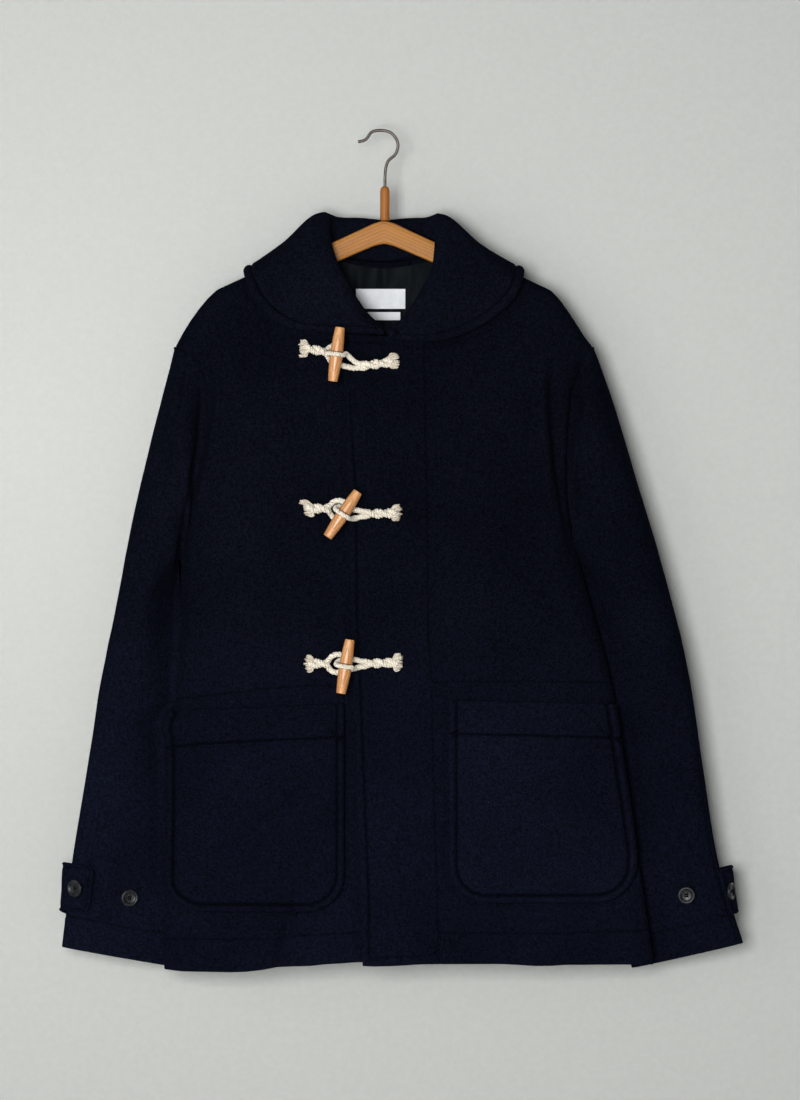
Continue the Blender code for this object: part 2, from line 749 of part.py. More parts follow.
def sleeve_ring(sign, k):
    row = {name: values[k] for name, values in SLEEVES[sign].items()}
    outer = np.array((sign * row["outer_x"], row["outer_y"], row["outer_z"]))
    inner = np.array((sign * row["inner_x"], row["inner_y"], row["inner_z"]))
    ring = []
    for angle in np.linspace(0, 2 * math.pi, AROUND, endpoint=False):
        cosine, sine = math.cos(angle), math.sin(angle)
        point = (outer + inner) / 2 + (outer - inner) / 2 * cosine
        point = point + np.array((-sign * row["hollow"] * sine ** 2,
                                  -row["depth"] * sine, 0))
        ring.append(point)
    return np.array(ring)


def tucked(point):
    """Keep a sleeve's point behind the body where it lies within the body's edge."""
    x, y, z = point
    if z > ARMPIT - 2 or z < HEM - 30:
        return point
    sign = 1 if x > 0 else -1
    edge = edge_out(sign, max(z, HEM))
    deep = max(0.05, float(smooth(ARMPIT - z, 0, TUCK_FADE)))
    past = abs(x) - edge - 1 - (TUCK_REACH - 1) * deep
    side = edge_depth(max(z, HEM), 1)
    if past > 0:
        least = side + TUCK_GAP - past / deep
    else:
        inside = sign * min(abs(x), edge - 0.1)
        least = max(side, skin(inside, max(z, HEM), 1)) + TUCK_GAP
    return np.array((x, max(y, least), z))


def make_sleeve(sign):
    rings = np.array([armhole_ring(sign)]
                     + [sleeve_ring(sign, k) for k in range(len(SLEEVES[sign]["depth"]))])
    knots = np.arange(len(rings), dtype=float)
    flat = rings.reshape(len(rings), -1)
    outer = np.stack([through(knots, flat[:, k], SLEEVE_ROWS)
                      for k in range(flat.shape[1])], axis=1)
    outer = outer.reshape(len(SLEEVE_ROWS), AROUND, 3)
    for i in range(1, len(outer)):
        for j in range(AROUND):
            outer[i, j] = tucked(outer[i, j])
    normals = grid_normals(outer, True)
    centre = outer[8].mean(axis=0)
    if np.dot(normals[8, 0], outer[8, 0] - centre) < 0:
        normals = -normals
    middle = outer[0].mean(axis=0)
    inward = middle - outer[0]
    inward[:, 0] = 0
    normals[0] = -unit(inward)
    wall(f"sleeve_{side_name(sign)}", outer, outer - normals * CLOTH, WOOL_COLOUR,
         ring=True)
    return outer, normals


# ------------------------------------------------------------------ collar
def collar_section(sign, k):
    """Points across the collar at one station: neck seam, stand, roll, fall, edge."""
    row = {name: values[k] for name, values in COLLAR_SIDES[sign].items()}
    turn = math.radians(row["turn"])
    out_dir = unit(np.array((sign * math.sin(turn), -math.cos(turn),
                             0.35 * math.sin(turn) ** 2)))
    front = row["turn"] < 91
    face = -1 if front else 1
    neck_x = sign * row["neck"]
    neck_z = neckline_front(sign, row["neck"]) if front else neckline_back(row["neck"])
    neck_y = skin(neck_x, neck_z, face) - face * CLOTH / 2
    if sign > 0 and front:
        neck_y -= placket_raise(neck_x)
    neck = np.array((neck_x, neck_y, neck_z))
    roll = np.array((sign * row["roll_x"], row["roll_y"], row["roll_z"]))
    edge_x = sign * row["edge_x"]
    edge_z = row["edge_z"]
    edge_y = skin(edge_x, min(edge_z, ridge(edge_x)), face) + face * row["lift"]
    if row["turn"] < 60:
        edge_y -= placket_raise(edge_x) if abs(edge_x) < 60 else 0.0
    if abs(row["turn"] - 90) < 1:
        edge_y = 0.0
    edge = np.array((edge_x, edge_y, edge_z))
    neck = neck + unit(roll - neck) * NECK_SEAM
    radius = min(ROLL_RADIUS, 0.45 * np.linalg.norm(edge - roll) + 1.2)
    stand = roll + unit(neck - roll) * radius - out_dir * radius
    fall = roll + unit(edge - roll) * radius + out_dir * radius
    return np.array((
        neck,
        (neck + stand) / 2,
        stand,
        roll,
        fall,
        (fall + edge) / 2 + out_dir * row["bulge"],
        edge,
    ))


def make_collar():
    right = [collar_section(-1, k) for k in range(12)]
    left = [collar_section(1, k) for k in range(11)]
    sections = np.array(right + left[::-1])
    knots = np.arange(len(sections), dtype=float)
    at = np.linspace(0, knots[-1], COLLAR_STATIONS)
    flat = sections.reshape(len(sections), -1)
    stations = np.stack([through(knots, flat[:, k], at) for k in range(flat.shape[1])],
                        axis=1).reshape(COLLAR_STATIONS, len(COLLAR_KNOTS), 3)
    cuts = np.array(COLLAR_CUTS, float)
    middle = np.stack([
        np.stack([through(COLLAR_KNOTS, station[:, k], cuts) for k in range(3)], axis=1)
        for station in stations])
    normals = grid_normals(middle, False)
    half = COLLAR_CLOTH / 2
    wall("collar", middle + normals * half, middle - normals * half, WOOL_COLOUR)
    return middle


# ------------------------------------------------------------------ what lies on them
def laid_wall(name, flat, face, gap, thick, colour, extra=0.0):
    """A wall on the skin, from a grid of (x, z), moved out along the skin's normal."""
    inner = np.zeros(flat.shape[:2] + (3,))
    outer = np.zeros_like(inner)
    for i, row in enumerate(flat):
        for j, (x, z) in enumerate(row):
            normal = skin_normal(x, z, face)
            base = np.array((x, skin(x, z, face) + face * extra, z))
            inner[i, j] = base + normal * gap
            outer[i, j] = base + normal * (gap + thick)
    return wall(name, outer, inner, colour)


def make_pocket(k):
    """A patch pocket with a level opening and round bottom corners."""
    row = {name: values[k] for name, values in POCKETS.items()}
    sign = row["sign"]
    heights = np.concatenate((
        POCKET_CORNER * (1 - np.cos(np.linspace(0, math.pi / 2, 5))),
        np.linspace(POCKET_CORNER, row["top_inner"] - row["bottom"], 6)[1:]))
    flat = []
    for rise in heights:
        inset = 0.0
        if rise < POCKET_CORNER:
            inset = POCKET_CORNER - math.sqrt(
                POCKET_CORNER ** 2 - (POCKET_CORNER - rise) ** 2)
        line = []
        reach = edge_out(sign, row["bottom"] + rise)
        first = math.asin((row["inner"] + inset) / reach)
        last = math.asin(min(row["outer"] - inset, reach - POCKET_SIDE) / reach)
        for angle in np.linspace(first, last, POCKET_COLS):
            share = (angle - first) / (last - first)
            slope = (row["top_outer"] - row["top_inner"]) * share * rise / heights[-1]
            z = row["bottom"] + rise + slope
            out = edge_out(sign, z) * math.sin(angle)
            line.append((sign * out, z))
        flat.append(line)
    laid_wall(f"pocket_{side_name(sign)}", np.array(flat), -1, LAY_GAP, POCKET_CLOTH,
              WOOL_COLOUR)


def inside_back(x, z, off):
    """Y of a place before the inner face of the back."""
    return skin(x, z, 1) - CLOTH - off


def make_neck_lining():
    """The lining below the back neck seam, with the loop and the two labels."""
    shares = np.linspace(-1, 1, 9)
    grid = np.zeros((5, len(shares), 3))
    for i, v in enumerate(np.linspace(0, 1, 5)):
        for j, u in enumerate(shares):
            x = LINING_HALF * u
            top = neckline_back(abs(x)) - LINING_DROP
            z = top + (LINING_BOTTOM - top) * v
            grid[i, j] = (x, inside_back(x, z, LINING_OFF), z)
    wall("neck_lining", grid, grid - np.array((0, LINING_CLOTH, 0)), LINING_COLOUR)
    label_off = LINING_OFF + LINING_CLOTH + LABEL_OFF
    for name, x0, x1, top, bottom in LABELS:
        grid = np.zeros((3, 4, 3))
        for i, z in enumerate(np.linspace(top, bottom, 3)):
            for j, x in enumerate(np.linspace(x0, x1, 4)):
                grid[i, j] = (x, inside_back(x, z, label_off), z)
        wall(name, grid, grid - np.array((0, LABEL_CLOTH, 0)), LABEL_COLOUR)
    loop = []
    for share in np.linspace(0, 1, 11):
        x = LOOP_ENDS[0] + (LOOP_ENDS[1] - LOOP_ENDS[0]) * share
        sag = LOOP_SAG * math.sin(math.pi * share)
        depth = inside_back(x, NECK_BACK, LOOP_OFF + sag)
        loop.append((x, depth, NECK_BACK + LOOP_SAG - sag))
    tube("hanger_loop", np.array(loop), LOOP_CORD, LINING_COLOUR)


def on_sleeve(outer, normals, row, col):
    """Place and normal on a sleeve, between its grid's rows and columns."""
    i, j = int(row), int(math.floor(col))
    di, dj = row - i, col - j
    def mix(grid):
        def at(a, b):
            return grid[a, b % AROUND]
        return ((at(i, j) * (1 - dj) + at(i, j + 1) * dj) * (1 - di)
                + (at(i + 1, j) * (1 - dj) + at(i + 1, j + 1) * dj) * di)
    return mix(outer), unit(mix(normals))


def make_cuff(sign, outer, normals):
    """The cuff's tab, the button on it, and the spare button on the sleeve."""
    tab = {name: values[0 if sign < 0 else 1] for name, values in TABS.items()}
    button_rise = LAY_GAP + TAB_CLOTH + BUTTON_GAP
    rows = (TAB_ROWS[0], math.floor(TAB_ROWS[1]), TAB_ROWS[1])
    cols = [tab["start"]] + list(range(math.ceil(tab["start"]), math.ceil(tab["end"])))
    cols.append(tab["end"])
    inner, out = [], []
    for row in rows:
        places = [on_sleeve(outer, normals, row, col) for col in cols]
        inner.append([place + normal * LAY_GAP for place, normal in places])
        out.append([place + normal * (LAY_GAP + TAB_CLOTH) for place, normal in places])
    name = side_name(sign)
    wall(f"cuff_tab_{name}", np.array(out), np.array(inner), WOOL_COLOUR)
    place, normal = on_sleeve(outer, normals, sum(TAB_ROWS) / 2, tab["button"])
    button(f"button_tab_{name}", place + normal * button_rise, normal)
    place, normal = on_sleeve(outer, normals, SPARE_ROW, tab["spare"])
    button(f"button_sleeve_{name}", place + normal * LAY_GAP, normal)


def button(name, place, normal):
    """A round button with a raised rim and a dished middle, on a place facing out."""
    profile = (
        (0, BUTTON_BODY), (6.2, BUTTON_BODY), (7.2, BUTTON_THICK), (8.6, BUTTON_THICK),
        (BUTTON_RADIUS, BUTTON_BODY), (BUTTON_RADIUS, 1.2), (8.2, 0), (0, 0),
    )
    turned(name, profile, 16, placed(place, normal, (0, 0, 1)), BUTTON_COLOUR, 0.3)


# ------------------------------------------------------------------ toggles and ropes
def rope_base(x, z):
    """Y of the cloth under the ropes: the placket's edge makes a soft step."""
    edge = float(through(PLACKET_EDGE["height"], PLACKET_EDGE["x"], z))
    return skin(x, z, -1) - OVERLAP * smooth(x, edge - 9, edge - 1)


def helix(start, end, phase):
    """One strand of the twisted stretch between two (x, z) places."""
    start, end = np.array(start, float), np.array(end, float)
    length = np.linalg.norm(end - start)
    direction = (end - start) / length
    across = np.array((-direction[1], direction[0]))
    places = []
    count = max(4, int(length / TWIST_PITCH * 8))
    for share in np.linspace(0, 1, count):
        angle = phase + 2 * math.pi * length * share / TWIST_PITCH
        x, z = start + direction * length * share + across * TWIST_RADIUS * math.cos(angle)
        places.append((x, TWIST_HEIGHT + TWIST_RADIUS * math.sin(angle), z))
    return places


def make_rope(name, middle, end, split, loop):
    """A doubled strand: twisted from its sewn end, then open round a loop."""
    out = helix(split, end, 0.0)
    back = helix(split, end, math.pi)
    local = out[::-1] + loop + back
    route = []
    for x, height, z in local:
        place_x, place_z = middle[0] + x, middle[1] + z
        route.append((place_x, rope_base(place_x, place_z) - height, place_z))
    tube(name, spline(route, ROPE_POINTS), STRAND, ROPE_COLOUR)


def lying_loop(tilt):
    """The right rope's loop, flat on the cloth behind the toggle."""
    lean = math.radians(tilt) * 0.4
    places = []
    for x, z in ((-14.5, -5.2), (-8, -8), (0, -8.2), (6.6, -5.2), (9, 0), (6.6, 5.2),
                 (0, 8.2), (-8, 8), (-14.5, 5.2)):
        places.append((x * math.cos(lean) + z * math.sin(lean), LYING_HEIGHT,
                       -x * math.sin(lean) + z * math.cos(lean)))
    return places


def band_loop(tilt, split):
    """The left rope's loop: behind the toggle, round it and back over its front."""
    lean = math.radians(tilt)
    across = np.array((math.cos(lean), -math.sin(lean)))
    axis = np.array((math.sin(lean), math.cos(lean)))
    places = []
    low_in = across * 12 - axis * 5.5
    mid_in = (low_in + np.array(split)) / 2 - np.array((0, 1.5))
    places.append((mid_in[0], LYING_HEIGHT + 2.0, mid_in[1]))
    places.append((low_in[0], BACK_HEIGHT + 0.4, low_in[1]))
    for degrees in (-70, -100, -130, -160, 170, 140, 110, 80, 50, 20):
        turn = math.radians(degrees)
        rise = 1.0 if degrees > 0 else -1.0
        flat = across * BAND_RADIUS * math.cos(turn) + axis * rise
        places.append((flat[0], TOGGLE_HEIGHT + BAND_RADIUS * math.sin(turn), flat[1]))
    high_out = across * 14 + axis * 3.5
    places.append((high_out[0], BACK_HEIGHT + 5.0, high_out[1]))
    mid_out = (high_out + np.array(split)) / 2 + np.array((0, 1.8))
    places.append((mid_out[0], LYING_HEIGHT + 4.0, mid_out[1]))
    return places


def make_tuft(name, middle, end, outward):
    """The frayed end of a rope, sewn flat to the cloth."""
    rings = []
    for share, wide, high in zip(TUFT["share"], TUFT["wide"], TUFT["tall"]):
        x = end[0] + outward * (0.6 + STRAND * 0.35 + TUFT_LONG * share)
        ring = []
        for angle in np.linspace(0, 2 * math.pi, 10, endpoint=False):
            z = end[1] + TUFT_WIDE / 2 * wide * math.cos(angle)
            tall = TUFT_TALL * high
            height = STRAND_GAP + tall + tall * math.sin(angle)
            place_x, place_z = middle[0] + x, middle[1] + z
            ring.append((place_x, rope_base(place_x, place_z) - height, place_z))
        rings.append(np.array(ring))
    solid_of_rings(name, rings, ROPE_COLOUR, 0.95)


def make_fastening(k):
    row = {name: values[k] for name, values in TOGGLES.items()}
    middle = (row["x"], row["z"])
    name = TOGGLE_NAMES[k]
    left_end, right_end = (row["left_x"], row["left_z"]), (row["right_x"], row["right_z"])
    left_split = (row["left_split_x"], row["left_split_z"])
    right_split = (row["right_split_x"], row["right_split_z"])
    make_rope(f"rope_left_{name}", middle, left_end, left_split,
              band_loop(row["tilt"], left_split))
    make_rope(f"rope_right_{name}", middle, right_end, right_split,
              lying_loop(row["tilt"]))
    make_tuft(f"rope_tuft_left_{name}", middle, left_end, 1)
    make_tuft(f"rope_tuft_right_{name}", middle, right_end, -1)
    lean = math.radians(row["tilt"])
    half = TOGGLE_LENGTH / 2
    profile = [(0, half), (TOGGLE_END_RADIUS - 1, half), (TOGGLE_END_RADIUS, half - 1)]
    for share in (0.66, 0.33, 0, -0.33, -0.66):
        swell = TOGGLE_RADIUS - (TOGGLE_RADIUS - TOGGLE_END_RADIUS) * abs(share) ** 1.6
        profile.append((swell, half * share))
    profile += [(TOGGLE_END_RADIUS, 1 - half), (TOGGLE_END_RADIUS - 1, -half), (0, -half)]
    height = TOGGLE_HEIGHT + row["seat"]
    centre = (row["x"], rope_base(*middle) - height, row["z"])
    place = placed(centre, (math.sin(lean), 0, math.cos(lean)), (0, -1, 0))
    turned(f"toggle_{name}", profile, 16, place, TOGGLE_COLOUR, 0.4)


# ------------------------------------------------------------------ hanger
def make_hanger():
    outs = np.concatenate((-BAR["out"][:0:-1], BAR["out"]))
    corner = 0.42
    rings = []
    for x in outs:
        top = float(np.interp(abs(x), BAR["out"], BAR["top"]))
        bottom = float(np.interp(abs(x), BAR["out"], BAR["bottom"]))
        half = float(np.interp(abs(x), BAR["out"], BAR["half"]))
        middle, tall = (top + bottom) / 2, (top - bottom) / 2
        cut = half * corner * 1.3
        ring = []
        for y, z in ((half, tall - cut), (half - cut, tall), (-half + cut, tall),
                     (-half, tall - cut), (-half, cut - tall), (-half + cut, -tall),
                     (half - cut, -tall), (half, cut - tall)):
            ring.append((x, y, middle + z))
        rings.append(np.array(ring))
    solid_of_rings("hanger_bar", rings, HANGER_COLOUR, 0.45)
    foot = BAR["top"][0] + GAP
    profile = (
        (0, DOWEL_TOP), (DOWEL_RADIUS * 0.45, DOWEL_TOP - 0.4),
        (DOWEL_RADIUS * 0.85, DOWEL_TOP - 2.6), (DOWEL_RADIUS, DOWEL_TOP - 5.5),
        (DOWEL_RADIUS, foot), (0, foot),
    )
    turned("hanger_neck", profile, 20, Matrix.Translation((HOOK["x"][-1] * MM, 0, 0)),
           HANGER_COLOUR, 0.45)
    route = np.stack((HOOK["x"], np.zeros(len(HOOK["x"])), HOOK["z"]), axis=1)
    tube("hanger_hook", spline(route, 28), HOOK_WIRE, STEEL_COLOUR, 0.35, 1.0)


fresh_scene()
COAT = new_collection("duffle_coat")
make_back()
for side in (-1, 1):
    make_front(side)
    sleeve_grid, sleeve_normals = make_sleeve(side)
    make_cuff(side, sleeve_grid, sleeve_normals)
make_collar()
for pocket in range(2):
    make_pocket(pocket)
make_neck_lining()
for fastening in range(3):
    make_fastening(fastening)
make_hanger()
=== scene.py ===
"""The looks of a navy wool duffle coat on a wooden hanger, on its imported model.

Shapes are worked out in millimetres and become metres in mesh_object(). The coat faces
-Y and +X is the wearer's left.
"""

import math

import bmesh
import bpy
import numpy as np
from mathutils import Matrix, Vector


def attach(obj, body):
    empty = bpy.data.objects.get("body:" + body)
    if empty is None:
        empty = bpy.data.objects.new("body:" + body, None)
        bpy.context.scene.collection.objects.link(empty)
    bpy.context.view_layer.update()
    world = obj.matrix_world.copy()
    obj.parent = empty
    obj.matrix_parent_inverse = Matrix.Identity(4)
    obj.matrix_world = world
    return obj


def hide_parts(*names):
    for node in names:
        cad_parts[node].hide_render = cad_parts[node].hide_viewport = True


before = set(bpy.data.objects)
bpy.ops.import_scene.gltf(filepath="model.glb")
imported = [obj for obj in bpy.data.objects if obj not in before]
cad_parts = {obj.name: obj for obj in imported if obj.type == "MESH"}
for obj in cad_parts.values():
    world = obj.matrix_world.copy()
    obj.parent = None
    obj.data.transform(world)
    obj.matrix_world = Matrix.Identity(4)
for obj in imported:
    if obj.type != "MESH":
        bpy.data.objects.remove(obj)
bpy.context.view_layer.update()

MM = 0.001
PIXEL = 1.1                     # mm of the coat for each pixel of the 800 x 1100 picture
HOOK_PIXEL = (384.0, 131.0)     # where the origin is in it

# ------------------------------------------------------------------ the camera
FRAME_MIDDLE = ((400 - HOOK_PIXEL[0]) * PIXEL, -(550 - HOOK_PIXEL[1]) * PIXEL)
FRAME_TALL = 1100 * PIXEL
LENS = 240.0
SENSOR = 36.0
TRUE_SCALE_Y = -18.0            # the depth at which PIXEL holds

eye = bpy.data.cameras.new("camera")
eye.lens = LENS
eye.sensor_width = SENSOR
eye.sensor_fit = "AUTO"
eye.clip_end = 60.0
camera = bpy.data.objects.new("camera", eye)
bpy.context.scene.collection.objects.link(camera)
camera.location = (FRAME_MIDDLE[0] * MM,
                   (TRUE_SCALE_Y - LENS * FRAME_TALL / SENSOR) * MM,
                   FRAME_MIDDLE[1] * MM)
camera.rotation_euler = (math.radians(90), 0, 0)
bpy.context.scene.camera = camera

# ------------------------------------------------------------------ driving sizes
CLOTH = 3.0
POCKET_CLOTH = 2.6
COLLAR_CLOTH = 4.0
LINING_CLOTH = 1.0
LABEL_CLOTH = 0.6
GAP = 0.3
LAY_GAP = 0.8

HEM = -917.0
ARMPIT = -450.0
SHOULDER = -237.0
SHOULDER_OUT = 230.0
NECK_OUT = 83.0
NECK_TOP = -126.5
NECK_BACK = -145.0
NECK_CURVE = 1.6
NECK_FRONT = -226.0
LENS_POWER = 2.4
BAR_ROLL = 12.0
CHEST_DROP = 130.0
OVERLAP = 3.9
UNDERLAP_EDGE = 8.0
OVERLAP_FADE = (18.0, 80.0)
SIDE_TURN = 0.6
NECK_TURN = 0.72
BACK_NECK = np.array((0, 32, 58, 76, NECK_OUT))
BACK_COLS = 13
HEM_FOLD = 29.0                 # the hem's stitch stands this far above its edge
STEP = 3.45                     # between grid points on the large panels


def columns(names, rows):
    """A table as one array for each named column."""
    return dict(zip(names, np.array(rows, float).T))


EDGE = columns(
    ("height", "right", "left"),
    ((HEM, 242, 297), (-860, 242, 289), (-805, 241.5, 281), (-740, 240.5, 272),
     (-680, 240.5, 262.5), (-643, 240, 257.4), (-633, 231, 255.6), (-600, 227, 249),
     (-526, 223, 229.5), (-480, 221.5, 217), (ARMPIT, 220, 210), (-420, 216, 204.5),
     (-396, 209, 202), (-362, 200, 201.5), (-318, 195.5, 203), (-283, 197.5, 208),
     (-262, 203, 215.5), (-247, 213, 222.5), (SHOULDER, SHOULDER_OUT, SHOULDER_OUT)),
)
DEPTH = columns(
    ("height", "front", "back", "side"),
    ((HEM, 38, 14, -14), (-800, 41, 19, -11), (-620, 43, 23, -5), (ARMPIT, 43, 27, 0),
     (-340, 40, 28, 0), (-226, 34, 27, 0), (-95, 32, 26, 0)),
)
RIDGE = columns(
    ("out", "right", "left"),
    ((0, -93.3, -93.3), (60, -116.9, -116.9), (NECK_OUT, NECK_TOP, NECK_TOP),
     (154, -160.0, -160.3), (184, -173.8, -174.6), (194, -183.0, -185.0),
     (204, -195.0, -199.0), (214, -209.0, -214.5), (222, -222.0, -227.0),
     (SHOULDER_OUT, SHOULDER, SHOULDER)),
)
ARMHOLE_DEPTH = (8.0, 20.0)     # in front and behind
FOLDS = columns(
    ("face", "x0", "z0", "x1", "z1", "width", "height"),
    ((-1, 178, -265, 186, -400, 13, 3.5), (-1, 194, -275, 199, -405, 9, -4.5),
     (-1, -150, -215, -195, -330, 22, 2.5), (-1, -112, -872, -128, HEM, 15, 4.0),
     (-1, -84, -872, -98, HEM, 14, -4.0), (-1, 120, -560, 150, -700, 40, 3.0),
     (1, -60, -260, -95, HEM, 34, 4.5), (1, 45, -240, 80, HEM, 32, -4.5),
     (1, 150, -330, 190, HEM, 30, 4.0), (1, -170, -300, -185, -800, 28, -3.5)),
)
PLACKET_EDGE = columns(
    ("height", "x"),
    ((HEM, -24), (-700, -31), (-520, -37), (-300, -41), (NECK_FRONT, -38)),
)
NECKLINE = columns(
    ("out", "z"),
    ((0, NECK_FRONT), (24, -222), (44, -212), (58, -196), (69, -176), (77, -155),
     (NECK_OUT, NECK_TOP)),
)
SLEEVE_COLUMNS = ("outer_x", "outer_z", "outer_y", "inner_x", "inner_z", "inner_y",
                  "depth", "hollow")
SLEEVES = {
    -1: columns(SLEEVE_COLUMNS, (
        (236, -258, 0, 219, -456, 4, 29, 15),
        (247, -300, 0, 214, -464, 9, 33, 6),
        (258, -345, 0, 211, -478, 14, 35, 1),
        (271, -399, -1, 208, -501, 19, 36, 0),
        (284, -462, -3, 207, -530, 24, 35, 0),
        (299, -541, -4, 202, -586, 29, 33, 0),
        (313.5, -614, -4, 199, -652, 31, 30.5, 0),
        (327, -700, -3, 201, -733, 31, 27, 0),
        (344, -805, -1, 208, -833, 28, 22, 0),
        (355, -898.5, 0, 216, -924, 25, 17, 0),
    )),
    1: columns(SLEEVE_COLUMNS, (
        (238.5, -258, 0, 209, -456, 4, 29, 15),
        (253, -300, 0, 206, -464, 9, 33, 7),
        (267, -345, 0, 206, -478, 14, 35, 2),
        (283, -399, -1, 207, -501, 20, 36, 0),
        (302, -462, -3, 211, -533, 26, 35, 0),
        (323, -541, -4, 214, -590, 31, 33, 0),
        (339, -614, -4, 226, -655, 32, 30.5, 0),
        (351.5, -700, -3, 239, -736, 31, 27, 0),
        (368.5, -805, -1, 256, -836, 28, 22, 0),
        (396, -894, 0, 274, -923, 25, 17, 0),
    )),
}
AROUND = 22                     # the CAD sleeve's columns, which the tabs are placed by
SLEEVE_ROWS = np.array((0, 0.5, 1, 1.6, 2.3, 3, 3.8, 4.6, 5.4, 6.2, 7, 7.8, 8.6, 9.3, 10))
SLEEVE_GAP = 0.5
TUCK_GAP = 4.2
TUCK_REACH = 10.0
TUCK_FADE = 70.0
TUCK_BEND = 4.0
COLLAR_COLUMNS = ("neck", "roll_x", "roll_y", "roll_z", "edge_x", "edge_z", "lift",
                  "turn", "bulge")
COLLAR_SIDES = {
    -1: columns(COLLAR_COLUMNS, (
        (5, 0.5, -38, -217.5, 0.5, -222.8, 5.0, 0, 0),
        (24, 15.4, -37, -205.7, 33, -221.5, 5.4, 3, 1),
        (44, 29.7, -36, -187, 62, -221, 5.0, 8, 2),
        (58, 41.8, -32.5, -167, 97, -217.8, 4.6, 14, 3),
        (69, 52, -27.5, -148, 122, -206, 4.6, 24, 4),
        (77, 61, -18, -120, 140, -188, 5.0, 42, 3),
        (81.5, 64, -6, -98, 149.5, -169, 7.5, 66, 1),
        (NECK_OUT, 65, 2, -91, 153, -153.5, 4.5, 90, -3),
        (78, 62, 11, -91.5, 141, -169, 7.5, 125, 1),
        (60, 49, 21, -95, 102, -190, 4.6, 155, 4),
        (30, 27, 26, -95.5, 53, -200, 4.6, 172, 3),
        (0, 0, 27.5, -97.5, 0, -203, 4.6, 180, 3),
    )),
    1: columns(COLLAR_COLUMNS, (
        (3.5, 1, -43, -218.5, 9, -228.3, 8.0, 0, 0),
        (22, 15.4, -42, -213, 36, -230.8, 6.2, 3, 1),
        (40, 30, -38.5, -196, 66, -229.5, 6.6, 8, 2),
        (55, 46.2, -35, -169.4, 100, -217, 6.6, 14, 3),
        (67, 55, -29.5, -148.5, 124, -202, 6.4, 24, 4),
        (76, 58.5, -19, -120, 141, -186, 6.0, 42, 3),
        (81.5, 58.5, -7, -98, 150, -169, 7.5, 66, 1),
        (NECK_OUT, 58, 2, -92, 153, -153.5, 4.5, 90, -5),
        (78, 56, 11, -92.5, 142, -169, 7.5, 125, 1),
        (60, 46, 21, -95, 103, -190, 4.6, 155, 4),
        (30, 27, 26, -95.5, 53, -200, 4.6, 172, 3),
        (0, 0, 27.5, -97.5, 0, -203, 4.6, 180, 3),
    )),
}
ROLL_RADIUS = 4.6
NECK_SEAM = 3.1
COLLAR_KNOTS = np.array((0, 0.18, 0.36, 0.42, 0.48, 0.74, 1))
COLLAR_STITCH = 9.2             # from the collar's edge to its stitch
POCKETS = columns(
    ("sign", "inner", "outer", "top_inner", "top_outer", "bottom"),
    ((-1, 43, 240, -629, -641, -858), (1, 71, 276, -625.5, -631.5, -848)),
)
POCKET_CORNER = 42.0
POCKET_SIDE = 3.0
POCKET_STITCH = 8.6
POCKET_HEM = 36.5
TAB_ROWS = (12.58, 13.4)
# The cuff tabs, right and left: the ends and the buttons are in columns of the CAD's
# sleeve, sink and the turns in its rows, and the offs and shanks in mm.
TABS = columns(
    ("sign", "start", "end", "button", "spare", "sink", "top_turn", "low_turn", "top_off",
     "low_off", "lean", "shank"),
    ((-1, -4.5, 3.20, 1.95, 5.4, 0.0, -0.006, -0.028, 6.2, 2.8, 0.55, 0.6),
     (1, -4.5, 1.60, 0.98, 4.55, 0.085, 0.0, 0.0, 10.5, 1.5, 1.25, 0.9)),
)
SPARE_ROW = 12.95
TAB_CLOTH = 2.8
TAB_TALL = 48.0
TAB_COLUMN = 17.0               # mm round the sleeve for each of its columns
TAB_CORNER = 7.0
TAB_BLUNT = 3.0
TAB_STITCH = 5.0                # mm in from its edge
TAB_STEP = 2.0                  # mm between the points of its grid
LINING_HALF = 56.0
LINING_DROP = 5.0
LINING_BOTTOM = -252.0
LINING_OFF = 1.2
LABEL_OFF = 0.4
LEAST_LENGTH = 10.5             # the small label's ends are folded under
LABELS = (("label_main", -31, 23.5, -172.5, -194.5), ("label_size", -20, 18, -198, -207))
LOOP_ENDS = (-28.0, 29.0)
LOOP_CORD = 2.6
LOOP_OFF = LOOP_CORD / 2 + 0.4
LOOP_SAG = 1.5
BAR = columns(
    ("out", "top", "bottom", "half"),
    ((0, -98, -123.3, 5.8), (12, -101.7, -126.8, 5.8), (30, -110.2, -134.5, 5.8),
     (60, -124, -147.5, 5.8), (105, -143.6, -165.5, 5.8), (154, -165, -186, 5.6),
     (174, -175.6, -194, 5.2), (183, -182.4, -195.5, 4.2), (187.5, -187, -192.5, 2.6)),
)
DOWEL_RADIUS = 5.4
DOWEL_TOP = -59.5
HOOK_WIRE = 3.3
HOOK = columns(
    ("x", "z"),
    ((-28.6, -11), (-20.9, -8.8), (-13.2, 0), (-3.9, 1.7), (7.7, -1.1), (15.4, -13.2),
     (12.8, -24.2), (4.4, -32.5), (2.2, -38.5), (1.1, -50), (1.1, DOWEL_TOP - 3)),
)
TOGGLES = columns(
    ("x", "z", "tilt", "seat"),
    ((-52.0, -246.6, 7.8, 1.6), (-45.0, -421.9, 34.0, 0.5), (-42.1, -588.4, 9.5, 1.6)),
)
